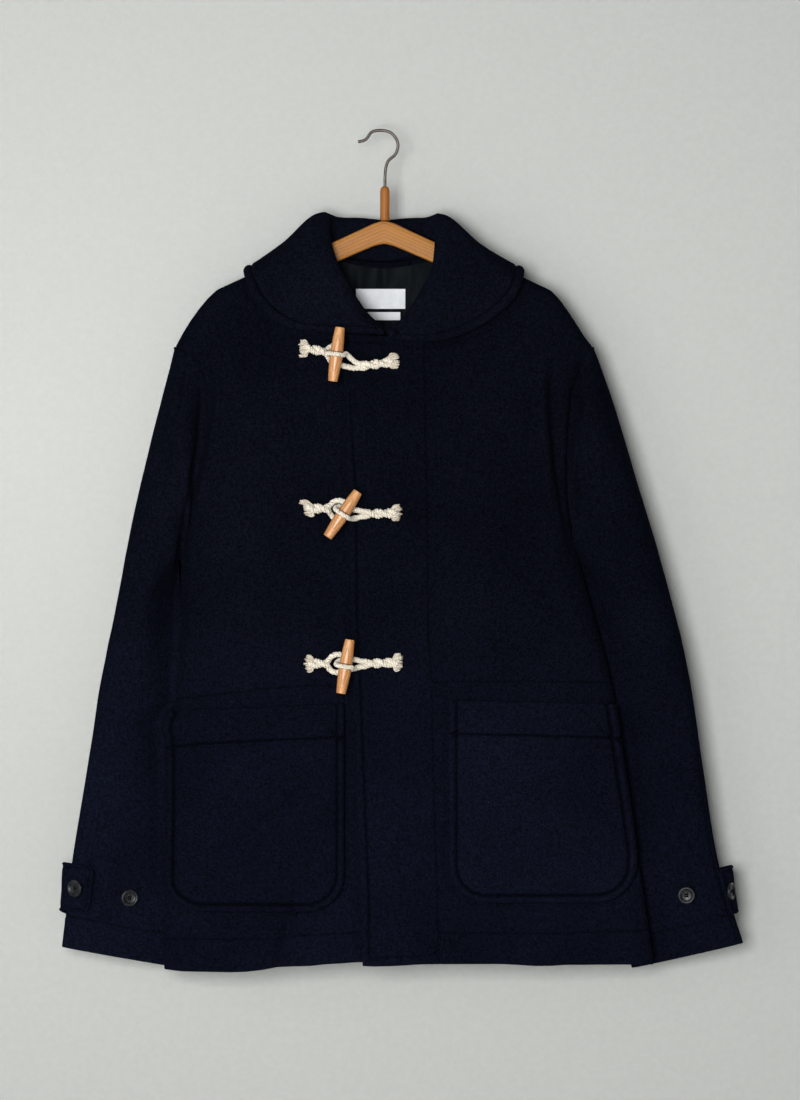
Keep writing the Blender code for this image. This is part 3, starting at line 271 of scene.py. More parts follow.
# Where the ropes run beside their toggles, on the picture: the strand that goes on from
# the band over the toggle, the one that comes from behind it, and their twist; then the
# loop that lies under the toggle, and its twist; then each tuft's inner and outer x, top
# and bottom y, and how far its top leans outward.
ROPES = (
    {"band": ((345.6, 353.4), (349.2, 356.4), (354.7, 361.4), (359.5, 363.4)),
     "behind": ((337.5, 362.6), (341.7, 364.8), (347, 366.3), (354.7, 367.8),
                (360, 367.4)),
     "high": True, "twist": ((364, 365.3), (392.5, 361.6)),
     "loop": ((327.6, 354.6), (329.8, 359.6), (333.2, 362.3), (337.2, 361),
              (340.4, 356.5), (340.7, 351), (338.8, 347), (335.4, 345.4), (331.8, 345.6),
              (327.9, 348.4)),
     "eye": ((327.5, 351.7), (304.5, 347.8)),
     "tufts": ((307.6, 298.8, 338.8, 356.7, 0.4), (388.6, 398.7, 352.2, 368.2, -0.3))},
    {"band": ((351, 518.6), (357, 517.9), (362, 516.6)),
     "behind": ((349, 509), (354.7, 509.9), (359.2, 510.5), (363, 511.5)),
     "high": False, "twist": ((366.5, 513.9), (396, 513)),
     "loop": ((328.6, 510.6), (331.3, 515.4), (334.8, 518.9), (338.6, 519.9),
              (343, 517.5), (346.7, 512), (347.5, 506), (343, 501.6), (337.8, 500.4),
              (332.8, 502.2), (328.8, 506.6)),
     "eye": ((328.5, 508.6), (306.5, 508.4)),
     "tufts": ((312.4, 301.8, 499.4, 517.2, 4.0), (391.8, 401.3, 504.6, 521.3, 1.2))},
    {"band": ((350.5, 669.2), (355.8, 668.3), (361, 666.8)),
     "behind": ((346, 658.4), (350.2, 659.1), (357, 660.2), (362, 661.5)),
     "high": False, "twist": ((365.5, 663.9), (397, 662.5)),
     "loop": ((328.1, 667.2), (330.8, 670.6), (335, 672.6), (340.6, 672), (346, 668.5),
              (348.5, 663), (346.7, 657.8), (342.4, 655.2), (337.4, 654.6), (332.4, 656.2),
              (328.3, 660.6)),
     "eye": ((328.0, 663.9), (309, 663.7)),
     "tufts": ((313.2, 304.6, 654.8, 672.4, 0.3), (393.4, 402.0, 653.6, 671.5, 0.8))},
)
TOGGLE_NAMES = ("top", "middle", "bottom")
TOGGLE_LENGTH = 60.0
TOGGLE_RADIUS = 7.2
TOGGLE_END_RADIUS = 5.2
STRAND = 5.9
TWIST_RADIUS = 2.6
TWIST_PITCH = 25.0
STRAND_GAP = 0.35
LYING_HEIGHT = STRAND_GAP + STRAND / 2
TWIST_HEIGHT = LYING_HEIGHT + TWIST_RADIUS
BAND_RADIUS = 11.65
TOGGLE_HEIGHT = 19.4


def seen(*places):
    """(x, z) in mm of places in the picture."""
    return [((x - HOOK_PIXEL[0]) * PIXEL, -(y - HOOK_PIXEL[1]) * PIXEL)
            for x, y in places]


def seen_at(places, y):
    """(x, z) of places in the picture, on a plane at another depth."""
    share = 1 - (TRUE_SCALE_Y - y) / (LENS * FRAME_TALL / SENSOR)
    return [(FRAME_MIDDLE[0] + (x - FRAME_MIDDLE[0]) * share,
             FRAME_MIDDLE[1] + (z - FRAME_MIDDLE[1]) * share) for x, z in seen(*places)]


# ------------------------------------------------------------------ number helpers
def through(knots, values, at):
    """A smooth curve through values at rising knots."""
    values = np.asarray(values, float)
    slopes = np.gradient(values, knots, axis=0)
    at = np.clip(np.asarray(at, float), knots[0], knots[-1])
    i = np.clip(np.searchsorted(knots, at) - 1, 0, len(knots) - 2)
    span = knots[i + 1] - knots[i]
    t = (at - knots[i]) / span
    if values.ndim > 1:
        span, t = span[..., None], t[..., None]
    ease = t * t * (3 - 2 * t)
    return (values[i] * (1 - ease) + values[i + 1] * ease
            + span * (slopes[i] * t * (1 - t) ** 2 - slopes[i + 1] * t * t * (1 - t)))


def smooth(value, low, high):
    t = np.clip((np.asarray(value, float) - low) / (high - low), 0, 1)
    return t * t * (3 - 2 * t)


def along(points, shares):
    """Points at the given shares, 0 to 1, of a polyline's length."""
    points = np.asarray(points, float)
    steps = np.linalg.norm(np.diff(points, axis=0), axis=1)
    reach = np.concatenate(([0.0], np.cumsum(steps)))
    at = np.asarray(shares) * reach[-1]
    return np.stack([np.interp(at, reach, points[:, k]) for k in range(points.shape[1])],
                    axis=1)


def spline(points, count):
    points = np.asarray(points, float)
    steps = np.linalg.norm(np.diff(points, axis=0), axis=1)
    knots = np.concatenate(([0.0], np.cumsum(steps)))
    fine = np.linspace(0, knots[-1], 24 * len(points))
    return along(through(knots, points, fine), np.linspace(0, 1, count))


def unit(vectors):
    lengths = np.linalg.norm(vectors, axis=-1, keepdims=True)
    return vectors / np.maximum(lengths, 1e-9)


def side_name(sign):
    return "left" if sign > 0 else "right"


def lattice(x, z, size, seed):
    """Smooth noise from -1 to 1 over a plane, with features of the given size."""
    table = np.random.RandomState(seed).uniform(-1, 1, (97, 97))
    x, z = np.asarray(x, float) / size + 300.0, np.asarray(z, float) / size + 300.0
    i, j = np.floor(x).astype(int), np.floor(z).astype(int)
    u, v = x - i, z - j
    u, v = u * u * (3 - 2 * u), v * v * (3 - 2 * v)

    def at(a, b):
        return table[a % 97, b % 97]

    return ((at(i, j) * (1 - u) + at(i + 1, j) * u) * (1 - v)
            + (at(i, j + 1) * (1 - u) + at(i + 1, j + 1) * u) * v)


def ripple(x, z, seed):
    """The cloth's own unevenness, in mm."""
    return (0.42 * lattice(x, z, 70, seed) + 0.26 * lattice(x + 0.4 * z, z, 31, seed + 1)
            + 0.13 * lattice(x, z - 0.3 * x, 13, seed + 2))


def line_distance(x, z, points):
    """Signed distance to a polyline, the length along it, and the share of that."""
    points = np.asarray(points, float)
    best = np.full(np.shape(x), 1e9)
    side, reach = np.zeros(np.shape(x)), np.zeros(np.shape(x))
    start = 0.0
    for a, b in zip(points[:-1], points[1:]):
        step = b - a
        length = math.hypot(*step)
        if length < 1e-6:
            continue
        px, pz = x - a[0], z - a[1]
        t = np.clip((px * step[0] + pz * step[1]) / length ** 2, 0, 1)
        dx, dz = px - t * step[0], pz - t * step[1]
        distance = np.hypot(dx, dz)
        nearer = distance < best
        best = np.where(nearer, distance, best)
        side = np.where(nearer, np.sign(px * step[1] - pz * step[0]), side)
        reach = np.where(nearer, start + t * length, reach)
        start += length
    side = np.where(side == 0, 1, side)
    return best * side, reach, reach / start


def creases(x, z, table):
    """Soft ridges along listed lines, and troughs where the height is less than 0."""
    total = np.zeros(np.shape(x))
    for points, width, height in table:
        distance, _, share = line_distance(x, z, points)
        fade = smooth(share, 0, 0.3) * (1 - smooth(share, 0.7, 1.0))
        total = total + height * fade * np.exp(-(distance / width) ** 2)
    return total


def grooves(x, z, table):
    """Sunk lines with short ends: half width and depth in mm."""
    total = np.zeros(np.shape(x))
    for points, width, depth in table:
        distance, _, share = line_distance(x, z, points)
        fade = smooth(share, 0, 0.06) * (1 - smooth(share, 0.94, 1.0))
        total = total - depth * fade * np.exp(-(distance / width) ** 2)
    return total


# ------------------------------------------------------------------ the body's shape
def by_side(sign, table, at):
    return np.where(np.asarray(sign) > 0, through(table["height"], table["left"], at),
                    through(table["height"], table["right"], at))


def ridge(x):
    reach = np.abs(x)
    return np.where(np.asarray(x) > 0, np.interp(reach, RIDGE["out"], RIDGE["left"]),
                    np.interp(reach, RIDGE["out"], RIDGE["right"]))


def edge_out(sign, z):
    z = np.asarray(z, float)
    above = np.where(np.asarray(sign) > 0,
                     np.interp(z, RIDGE["left"][::-1], RIDGE["out"][::-1]),
                     np.interp(z, RIDGE["right"][::-1], RIDGE["out"][::-1]))
    return np.where(z <= SHOULDER, by_side(sign, EDGE, z), above)


def edge_depth(z, face):
    z = np.asarray(z, float)
    side = through(DEPTH["height"], DEPTH["side"], z)
    share = np.clip((z - ARMPIT) / (SHOULDER - ARMPIT), 0, 1)
    deep = ARMHOLE_DEPTH[0] if face < 0 else ARMHOLE_DEPTH[1]
    hole = face * deep * np.maximum(np.sin(np.pi * share), 0) ** 0.75
    return side + hole


def folds(x, z, face):
    total = np.zeros(np.broadcast(x, z).shape)
    for k in range(len(FOLDS["face"])):
        if FOLDS["face"][k] != face:
            continue
        start = (FOLDS["x0"][k], FOLDS["z0"][k])
        line = (FOLDS["x1"][k] - start[0], FOLDS["z1"][k] - start[1])
        length = math.hypot(*line)
        px, pz = x - start[0], z - start[1]
        share = (px * line[0] + pz * line[1]) / length ** 2
        across = (px * line[1] - pz * line[0]) / length
        fade = smooth(share, -0.05, 0.35)
        if abs(FOLDS["z1"][k] - HEM) >= 1:
            fade = fade * (1 - smooth(share, 0.8, 1.15))
        total = total + FOLDS["height"][k] * fade * np.exp(
            -(across / FOLDS["width"][k]) ** 2)
    return total


def skin(x, z, face):
    """Y of the body's outer face at a place seen from the front."""
    x, z = np.asarray(x, float), np.asarray(z, float)
    reach = through(DEPTH["height"], DEPTH["front" if face < 0 else "back"], z)
    share = np.minimum(1.0, np.abs(x) / edge_out(np.where(x == 0, 1, x), z))
    lens = np.maximum(1 - share ** LENS_POWER, 0) ** (1 / LENS_POWER)
    hang = 1 - smooth(z, -300, -205)
    lens = 1 - hang * (1 - lens)
    drop = np.maximum(0.0, ridge(x) - z)
    over_bar = BAR_ROLL * np.sqrt(1 - (1 - np.minimum(1.0, drop / BAR_ROLL)) ** 2)
    below = (reach - BAR_ROLL) * np.sin(np.pi / 2 * np.minimum(1.0, drop / CHEST_DROP))
    full = over_bar + below + folds(x, z, face) * smooth(drop, 20, 90)
    return edge_depth(z, face) * (1 - lens) + face * full * lens


def placket_raise(x):
    return OVERLAP * (1 - smooth(x, *OVERLAP_FADE))


def neckline_front(out):
    return through(NECKLINE["out"], NECKLINE["z"], out)


def neckline_back(out):
    share = np.minimum(1.0, np.asarray(out, float) / NECK_OUT)
    return NECK_BACK + (ridge(NECK_OUT) - NECK_BACK) * share ** NECK_CURVE


# ------------------------------------------------------------------ creases and stitches
# Each crease is a line on the picture, its half width in mm and its height.
FRONT_CREASES = {
    -1: [
        (seen((221, 352), (219, 390), (217, 414), (211, 444), (206, 468), (198, 494),
              (188, 540)), 5.0, 3.0),
        (seen((230, 352), (231, 400), (224, 450), (214, 500)), 9, -1.8),
        (seen((236, 300), (216, 322), (206, 352)), 8, 1.2),
        (seen((262, 420), (250, 520), (240, 620)), 26, -1.2),
        (seen((300, 560), (306, 640), (298, 700)), 22, 1.2),
        (seen((330, 400), (334, 500), (333, 600), (338, 700)), 11, -1.2),
        (seen((186, 560), (190, 640), (184, 700)), 7, 1.0),
        (seen((334, 752), (284, 808), (238, 848), (196, 880)), 10, -4.2),
        (seen((340, 786), (300, 836), (258, 876)), 9, 1.8),
        (seen((302, 880), (289, 925), (274, 990)), 8, -5.5),
        (seen((270, 915), (256, 950), (246, 990)), 10, 2.2),
        (seen((338, 905), (344, 935), (346, 968)), 8, -1.0),
        (seen((200, 300), (262, 330), (318, 352)), 13, -0.8),
    ],
    1: [
        (seen((545, 330), (545, 385), (546, 430), (550, 470), (559, 510), (572, 560)),
         6, 2.0),
        (seen((552, 346), (553, 390), (556, 430), (561, 470), (568, 510), (584, 580)),
         8.0, -8.0),
        (seen((536, 352), (534, 430), (540, 500)), 12, -1.2),
        (seen((520, 300), (556, 316), (580, 338)), 9, 0.9),
        (seen((470, 400), (478, 520), (470, 640)), 24, 1.1),
        (seen((392, 350), (388, 420), (391, 520), (388, 640)), 10, -0.7),
        (seen((372, 955), (388, 951), (410, 940)), 5, -1.0),
        (seen((500, 560), (512, 620), (508, 690)), 18, -1.1),
        (seen((600, 640), (612, 690), (618, 740)), 8, 1.0),
        (seen((524, 905), (518, 935), (516, 968)), 12, -1.3),
        (seen((588, 905), (592, 935), (596, 968)), 10, 1.2),
        (seen((452, 905), (456, 935), (458, 968)), 9, 0.9),
        (seen((428, 370), (436, 470), (434, 560)), 6, 0.5),
    ],
}
BACK_CREASES = [
    ([(-150, -232), (-172, -300), (-182, -390)], 9, -2.0),
    ([(150, -228), (176, -300), (186, -400)], 9, -2.0),
    ([(-128, -250), (-150, -340), (-158, -440)], 12, 1.4),
    ([(128, -250), (152, -330), (160, -450)], 12, 1.4),
    ([(-90, -226), (-30, -240), (40, -238), (96, -226)], 12, -1.4),
    ([(-20, -300), (-12, -460), (-28, -640)], 26, 1.3),
    ([(100, -420), (96, -560), (108, -700)], 20, -1.3),
    ([(-120, -520), (-132, -640), (-126, -760)], 18, 1.2),
    ([(40, -760), (52, -850), (56, -930)], 12, 1.6),
    ([(-150, -800), (-160, -860), (-168, -930)], 12, -1.6),
    ([(190, -820), (204, -870), (210, -930)], 12, -1.2),
    ([(-205, -430), (-214, -520), (-222, -620)], 8, 1.0),
]
COLLAR_CREASES = [
    (seen((306, 246), (296, 270), (300, 296)), 12, 1.0),
    (seen((340, 262), (334, 290), (344, 316)), 9, -0.9),
    (seen((270, 262), (266, 284), (276, 306)), 8, -0.8),
    (seen((470, 262), (478, 284), (470, 306)), 10, 1.0),
    (seen((432, 280), (436, 300), (428, 322)), 8, -0.8),
    (seen((500, 276), (500, 292), (492, 306)), 7, -0.6),
    (seen((386, 350), (389, 344), (398, 338), (410, 334)), 3.0, -1.4),
]
POCKET_CREASES = {
    -1: [
        (seen((322, 770), (280, 812), (240, 846), (214, 868)), 7, -1.0),
        (seen((200, 756), (206, 800), (220, 850)), 14, 0.8),
        (seen((250, 752), (262, 780), (258, 820)), 10, -0.6),
    ],
    1: [
        (seen((530, 894), (575, 888), (622, 878)), 5, -2.6),
        (seen((520, 872), (570, 874), (612, 866)), 7, 1.0),
        (seen((470, 760), (482, 810), (476, 862)), 12, 0.8),
        (seen((600, 750), (594, 800), (604, 850)), 12, -0.8),
        (seen((540, 752), (536, 790), (546, 830)), 12, 0.6),
    ],
}
# Where the cloth sinks beside the collar's edge and under the placket's.
GROOVES_FRONT = {
    -1: [
        (seen((248, 280), (250, 294), (261, 312), (276, 325.5), (296, 333), (328, 336.5),
              (352, 336.5), (372, 337)), 3.6, 1.7),
        (seen((342.5, 345), (345.5, 400), (348.5, 500), (350, 609), (353.5, 700),
              (358, 811), (361, 895), (361, 990)), 4.2, 2.4),
    ],
    1: [
        (seen((523, 280), (521, 295), (507, 313), (486, 328.5), (466, 337.5), (438, 343),
              (410, 344.5), (384, 344)), 4.4, 2.8),
    ],
}
STITCH_FRONT = {
    -1: [
        seen((163, 939), (271, 938), (295.5, 935), (358, 931.5), (400, 931)),
        seen((175, 699), (227, 693), (271, 688), (310, 685), (345, 686), (392, 686)),
        seen((392, 345), (366, 343.5), (350, 342.5), (320, 341)),
    ],
    1: [
        seen((350, 393), (357, 500), (357.5, 609), (361.5, 700), (366, 811),
             (369.5, 895), (370, 956), (418, 955), (438, 953)),
        seen((424.6, 345), (424.6, 368), (426, 444), (427.5, 532), (428.4, 638),
             (430, 652), (431.6, 686), (434, 792), (435, 821), (439, 961), (439, 975)),
        seen((432, 681.5), (520, 681), (612, 682), (640, 683)),
        seen((441, 931.5), (540, 932.7), (648, 930), (662, 930)),
        seen((349, 342.5), (366, 343.5), (386, 344)),
    ],
}
# Across the picture, mm that each panel's hem hangs lower than its straight line.
HEM_LINE = {
    -1: ((163, 182, 230, 246, 262, 278, 310, 326, 342, 358, 400),
         (-5.0, -7.0, -7.6, -7.0, -4.8, -1.8, -0.5, 1.4, 2.4, 3.6, 3.6)),
    1: ((362, 374, 390, 406, 422, 502, 518, 534, 550, 566, 614, 654),
        (-0.2, -0.8, -0.5, 0.4, 1.5, 1.6, 0.6, -0.6, -0.5, 0.5, 0.6, 0.3)),
    0: ((120, 182, 246, 278, 326, 400, 460, 530, 600, 654),
        (-3.0, -5.6, -5.2, 0.6, 3.2, 2.2, 3.0, 1.2, 2.2, 2.0)),
}
STITCH_BACK = [
    [(-262, HEM + HEM_FOLD), (0, HEM + HEM_FOLD - 2), (318, HEM + HEM_FOLD)],
    [(-252, -624), (-120, -612), (60, -608), (150, -608), (270, -606)],
]


def stitched(x, z, lines):
    """Signed distance to the nearest stitch line, and the length along it."""
    best = np.full(np.shape(x), 99.0)
    length = np.zeros(np.shape(x))
    for line in lines:
        distance, reach, _ = line_distance(x, z, line)
        nearer = np.abs(distance) < np.abs(best)
        best = np.where(nearer, distance, best)
        length = np.where(nearer, reach, length)
    return best, length


def pucker(distance, length, depth=1.0, width=1.6):
    """The dip of a stitch line and the soft swell beside it."""
    beat = 1 + 0.22 * np.sin(length * 0.9) + 0.18 * np.sin(length * 0.37 + 1)
    return (-depth * np.exp(-(distance / width) ** 2)
            + 0.28 * beat * np.exp(-((np.abs(distance) - 4.2) / 2.2) ** 2))


def rounded(near, radius):
    """How far a round corner draws back, this near to the straight edge."""
    return radius - np.sqrt(radius ** 2 - np.maximum(radius - near, 0) ** 2)

def rim_swell(distance, width, height=0.75):
    """A turned edge, stitched down: it stands proud between the edge and the stitch."""
    share = np.clip(distance / width, 0, 1)
    return height * np.maximum(np.sin(np.pi * share), 0) ** 0.7


def hem_drop(face, x, z):
    """How far the hem hangs below its straight line; the back's is kept behind."""
    across, deep = HEM_LINE[face]
    way = np.interp(np.asarray(x) / PIXEL + HOOK_PIXEL[0], across, deep)
    return way * (1 - smooth(z - HEM, 0, 70))


def placket_line(z):
    return through(PLACKET_EDGE["height"], PLACKET_EDGE["x"], z)


def front_rise(sign, x, z):
    """How far the scene's cloth stands out from the front's plain form."""
    distance, length = stitched(x, z, STITCH_FRONT[sign])
    shape = creases(x, z, FRONT_CREASES[sign])
    shape = shape + ripple(x, z, 11 if sign < 0 else 23)
    hem = z - HEM
    shape = shape * smooth(hem, -4, 26) * 0.8 + shape * 0.2
    shape = shape + pucker(distance, length)
    shape = shape + 0.5 * (1 - smooth(hem, 20, 32))
    if sign > 0:
        shape = shape + rim_swell(x - placket_line(z), 9.6, 1.5) * smooth(-z, 232, 262)
    else:
        # The front under the placket keeps below it.
        under = smooth(x, -52, -44)
        shape = shape * (1 - under) - 0.25 * under
    return shape


def front_y(sign, x, z):
    """Y of the scene's front at a place."""
    base = skin(x, z, -1)
    if sign > 0:
        base = base - placket_raise(x)
    return base - front_rise(sign, x, z)


# ------------------------------------------------------------------ building meshes
def mesh_object(name, points, quads, attributes=None, matrix=None):
    data = bpy.data.meshes.new(name)
    points, quads = np.asarray(points, float), np.asarray(quads, int)
    data.vertices.add(len(points))
    data.vertices.foreach_set("co", (points * MM).ravel())
    data.loops.add(4 * len(quads))
    data.loops.foreach_set("vertex_index", quads.ravel().astype(np.int32))
    data.polygons.add(len(quads))
    data.polygons.foreach_set("loop_start",
                              np.arange(0, 4 * len(quads), 4, dtype=np.int32))
    data.update(calc_edges=True)
    data.validate()
    for key, values in (attributes or {}).items():
        made = data.attributes.new(key, "FLOAT", "POINT")
        made.data.foreach_set("value", np.asarray(values, np.float32).ravel())
    data.shade_smooth()
    made = bpy.data.objects.new(name, data)
    bpy.context.scene.collection.objects.link(made)
    if matrix is not None:
        made.matrix_world = matrix
    return made


def face_grid(rows, cols, ring):
    last = cols if ring else cols - 1
    i, j = np.meshgrid(np.arange(rows - 1), np.arange(last), indexing="ij")
    a, b = i * cols + j, i * cols + (j + 1) % cols
    return np.stack((a, b, b + cols, a + cols), -1).reshape(-1, 4)


def capped(rows, around):
    """Quads of a tube of rings, with both ends closed."""
    caps = []
    for row, far_end in ((0, False), (rows - 1, True)):
        ring = row * around + np.arange(around)
        for k in range(1, around // 2):
            quad = (ring[k - 1], ring[k], ring[-k - 1], ring[-k % around])
            caps.append(quad if far_end else quad[::-1])
    return np.concatenate((face_grid(rows, around, True), np.array(caps)))

def grid_normals(grid, ring=False):
    if ring:
        padded = np.concatenate((grid[:, -1:], grid, grid[:, :1]), axis=1)
        across = (padded[:, 2:] - padded[:, :-2]) / 2
    else:
        across = np.gradient(grid, axis=1)
    return unit(np.cross(np.gradient(grid, axis=0), across))


def facing(grid, probe):
    """A grid's normals, turned so that the one in the middle agrees with a direction."""
    normals = grid_normals(grid)
    middle = normals[len(normals) // 2, normals.shape[1] // 2]
    return normals if np.dot(middle, probe) > 0 else -normals


def rim_distance(grid, sides, ring=False):
    """Distance of each grid point to the open sides: low, high rows; first, last cols."""
    rows, cols = grid.shape[:2]
    best = np.full((rows, cols), 1e9)
    down = np.concatenate((np.zeros((1, cols)), np.cumsum(
        np.linalg.norm(np.diff(grid, axis=0), axis=2), axis=0)))
    if "low" in sides:
        best = np.minimum(best, down)
    if "high" in sides:
        best = np.minimum(best, down[-1:] - down)
    if not ring:
        over = np.concatenate((np.zeros((rows, 1)), np.cumsum(
            np.linalg.norm(np.diff(grid, axis=1), axis=2), axis=1)), axis=1)
        if "first" in sides:
            best = np.minimum(best, over)
        if "last" in sides:
            best = np.minimum(best, over[:, -1:] - over)
    return best


ALL_SIDES = ("low", "high", "first", "last")


def shell(name, outer, normals, thick, sides=ALL_SIDES, radius=None, ring=False,
          seams=None):
    """A closed thin cloth shell with rounded edges, from its outer grid."""
    rows, cols = outer.shape[:2]
    radius = radius or thick * 0.6
    share = np.clip(rim_distance(outer, sides, ring) / radius, 0, 1)
    keep = 0.22 + 0.78 * np.sqrt(1 - (1 - share) ** 2)
    half = normals * thick / 2
    middle = outer - half
    top = middle + half * keep[..., None]
    under = middle - half * keep[..., None]
    faces = face_grid(rows, cols, ring)
    count = rows * cols
    a, b, d = (top.reshape(-1, 3)[faces[:, k]] for k in (0, 1, 3))
    turned_out = np.einsum("ij,ij->i", np.cross(b - a, d - a),
                           normals.reshape(-1, 3)[faces[:, 0]]).mean() > 0
    loops = []
    low = np.arange(cols)
    high = (rows - 1) * cols + np.arange(cols)
    if ring:
        loops.append((low, np.roll(low, -1)))
        loops.append((np.roll(high, -1), high))
    else:
        first = np.arange(rows) * cols
        last = first + cols - 1
        border = np.concatenate((low, last[1:], high[::-1][1:], first[::-1][1:-1]))
        loops.append((border, np.roll(border, -1)))
    rims = [np.stack((q, p, p + count, q + count), -1) for p, q in loops]
    every = np.concatenate([faces, faces[:, ::-1] + count] + rims)
    if not turned_out:
        every = every[:, ::-1]
    attributes = {}
    if seams is not None:
        distance, length = seams
        attributes["stitch"] = np.concatenate(
            (distance.ravel(), np.full(count, 99.0)))
        attributes["stitch_length"] = np.concatenate((length.ravel(), length.ravel()))
    points = np.concatenate((top.reshape(-1, 3), under.reshape(-1, 3)))
    return mesh_object(name, points, every, attributes)


def grid_area(grid):
    one = np.cross(grid[1:, :-1] - grid[:-1, :-1], grid[:-1, 1:] - grid[:-1, :-1])
    two = np.cross(grid[1:, :-1] - grid[1:, 1:], grid[:-1, 1:] - grid[1:, 1:])
    return float((np.linalg.norm(one, axis=2) + np.linalg.norm(two, axis=2)).sum() / 2)


def cut_size(grid, ring=False):
    """The width and length that the cloth is cut to, from its grid's arcs."""
    closed = np.concatenate((grid, grid[:, :1]), axis=1) if ring else grid
    wide = np.linalg.norm(np.diff(closed, axis=1), axis=2).sum(axis=1).max()
    long = np.linalg.norm(np.diff(closed, axis=0), axis=2).sum(axis=0).max()
    return wide, long, grid_area(closed)


def end_steps(length, step, fine=(0, 0.35, 0.8, 1.4, 2.2, 3.4)):
    """Rising places from 0 to a length, closer together at both ends."""
    fine = np.array(fine, float)
    inner = np.linspace(fine[-1], length - fine[-1],
                        max(3, int((length - 2 * fine[-1]) / step) + 1))
    return np.concatenate((fine[:-1], inner, (length - fine[:-1])[::-1]))


def sweep(route, radius, sides):
    """Points and quads of a tube along a route; radius is a number or one per point."""
    route = np.asarray(route, float)
    tangents = unit(np.gradient(route, axis=0))
    radii = np.broadcast_to(np.asarray(radius, float), (len(route),))
    start = np.array((0.0, -1.0, 0.0))
    if abs(np.dot(start, tangents[0])) > 0.9:
        start = np.array((1.0, 0.0, 0.0))
    across = np.zeros_like(route)
    side = start
    for k, tangent in enumerate(tangents):
        side = side - tangent * np.dot(side, tangent)
        side = side / np.linalg.norm(side)
        across[k] = side
    other = np.cross(tangents, across)
    angles = np.linspace(0, 2 * np.pi, sides, endpoint=False)
    rings = (route[:, None]
             + radii[:, None, None] * (across[:, None] * np.cos(angles)[None, :, None]
                                       + other[:, None] * np.sin(angles)[None, :, None]))
    return rings.reshape(-1, 3), capped(len(route), sides), across, other


def joined(parts):
    """Several (points, quads) as one."""
    points, quads, start = [], [], 0
    for some_points, some_quads in parts:
        points.append(some_points)
        quads.append(np.asarray(some_quads) + start)
        start += len(some_points)
    return np.concatenate(points), np.concatenate(quads)


def plied(route, strand, pitch, sides=8, phase=0.0, seed=1):
    """A strand of three twisted plies along a route: points, quads and how hollow, which
    the cord's material takes as a mask for painted shade.

    The strand's thickness is a number or one for each place of the route.
    """
    across, other = sweep(route, 1.0, 4)[2:]
    steps = np.linalg.norm(np.diff(route, axis=0), axis=1)
    reach = np.concatenate(([0.0], np.cumsum(steps)))
    strand = np.broadcast_to(np.asarray(strand, float), (len(route),))
    ply = strand * 0.250
    parts, hollow = [], []
    for k in range(3):
        turn = phase + 2 * np.pi * (reach / pitch + k / 3)
        turn = turn + 0.5 * lattice(reach, 0 * reach, 7.0, seed + 3 * k)
        offset = (strand / 2 - ply)[:, None] * (across * np.cos(turn)[:, None]
                                                + other * np.sin(turn)[:, None])
        lumps = 1 + 0.15 * lattice(reach, 9 + 0 * reach, 1.7, seed + k) \
            + 0.08 * lattice(reach, 5 + 0 * reach, 5.0, seed + k + 9)
        points, quads = sweep(route + offset, ply * lumps, sides)[:2]
        parts.append((points, quads))
        apart = np.linalg.norm(points.reshape(len(route), sides, 3) - route[:, None],
                               axis=2) / strand[:, None]
        hollow.append(1 - smooth(apart.ravel(), 0.29, 0.44))
    return (*joined(parts), np.concatenate(hollow))


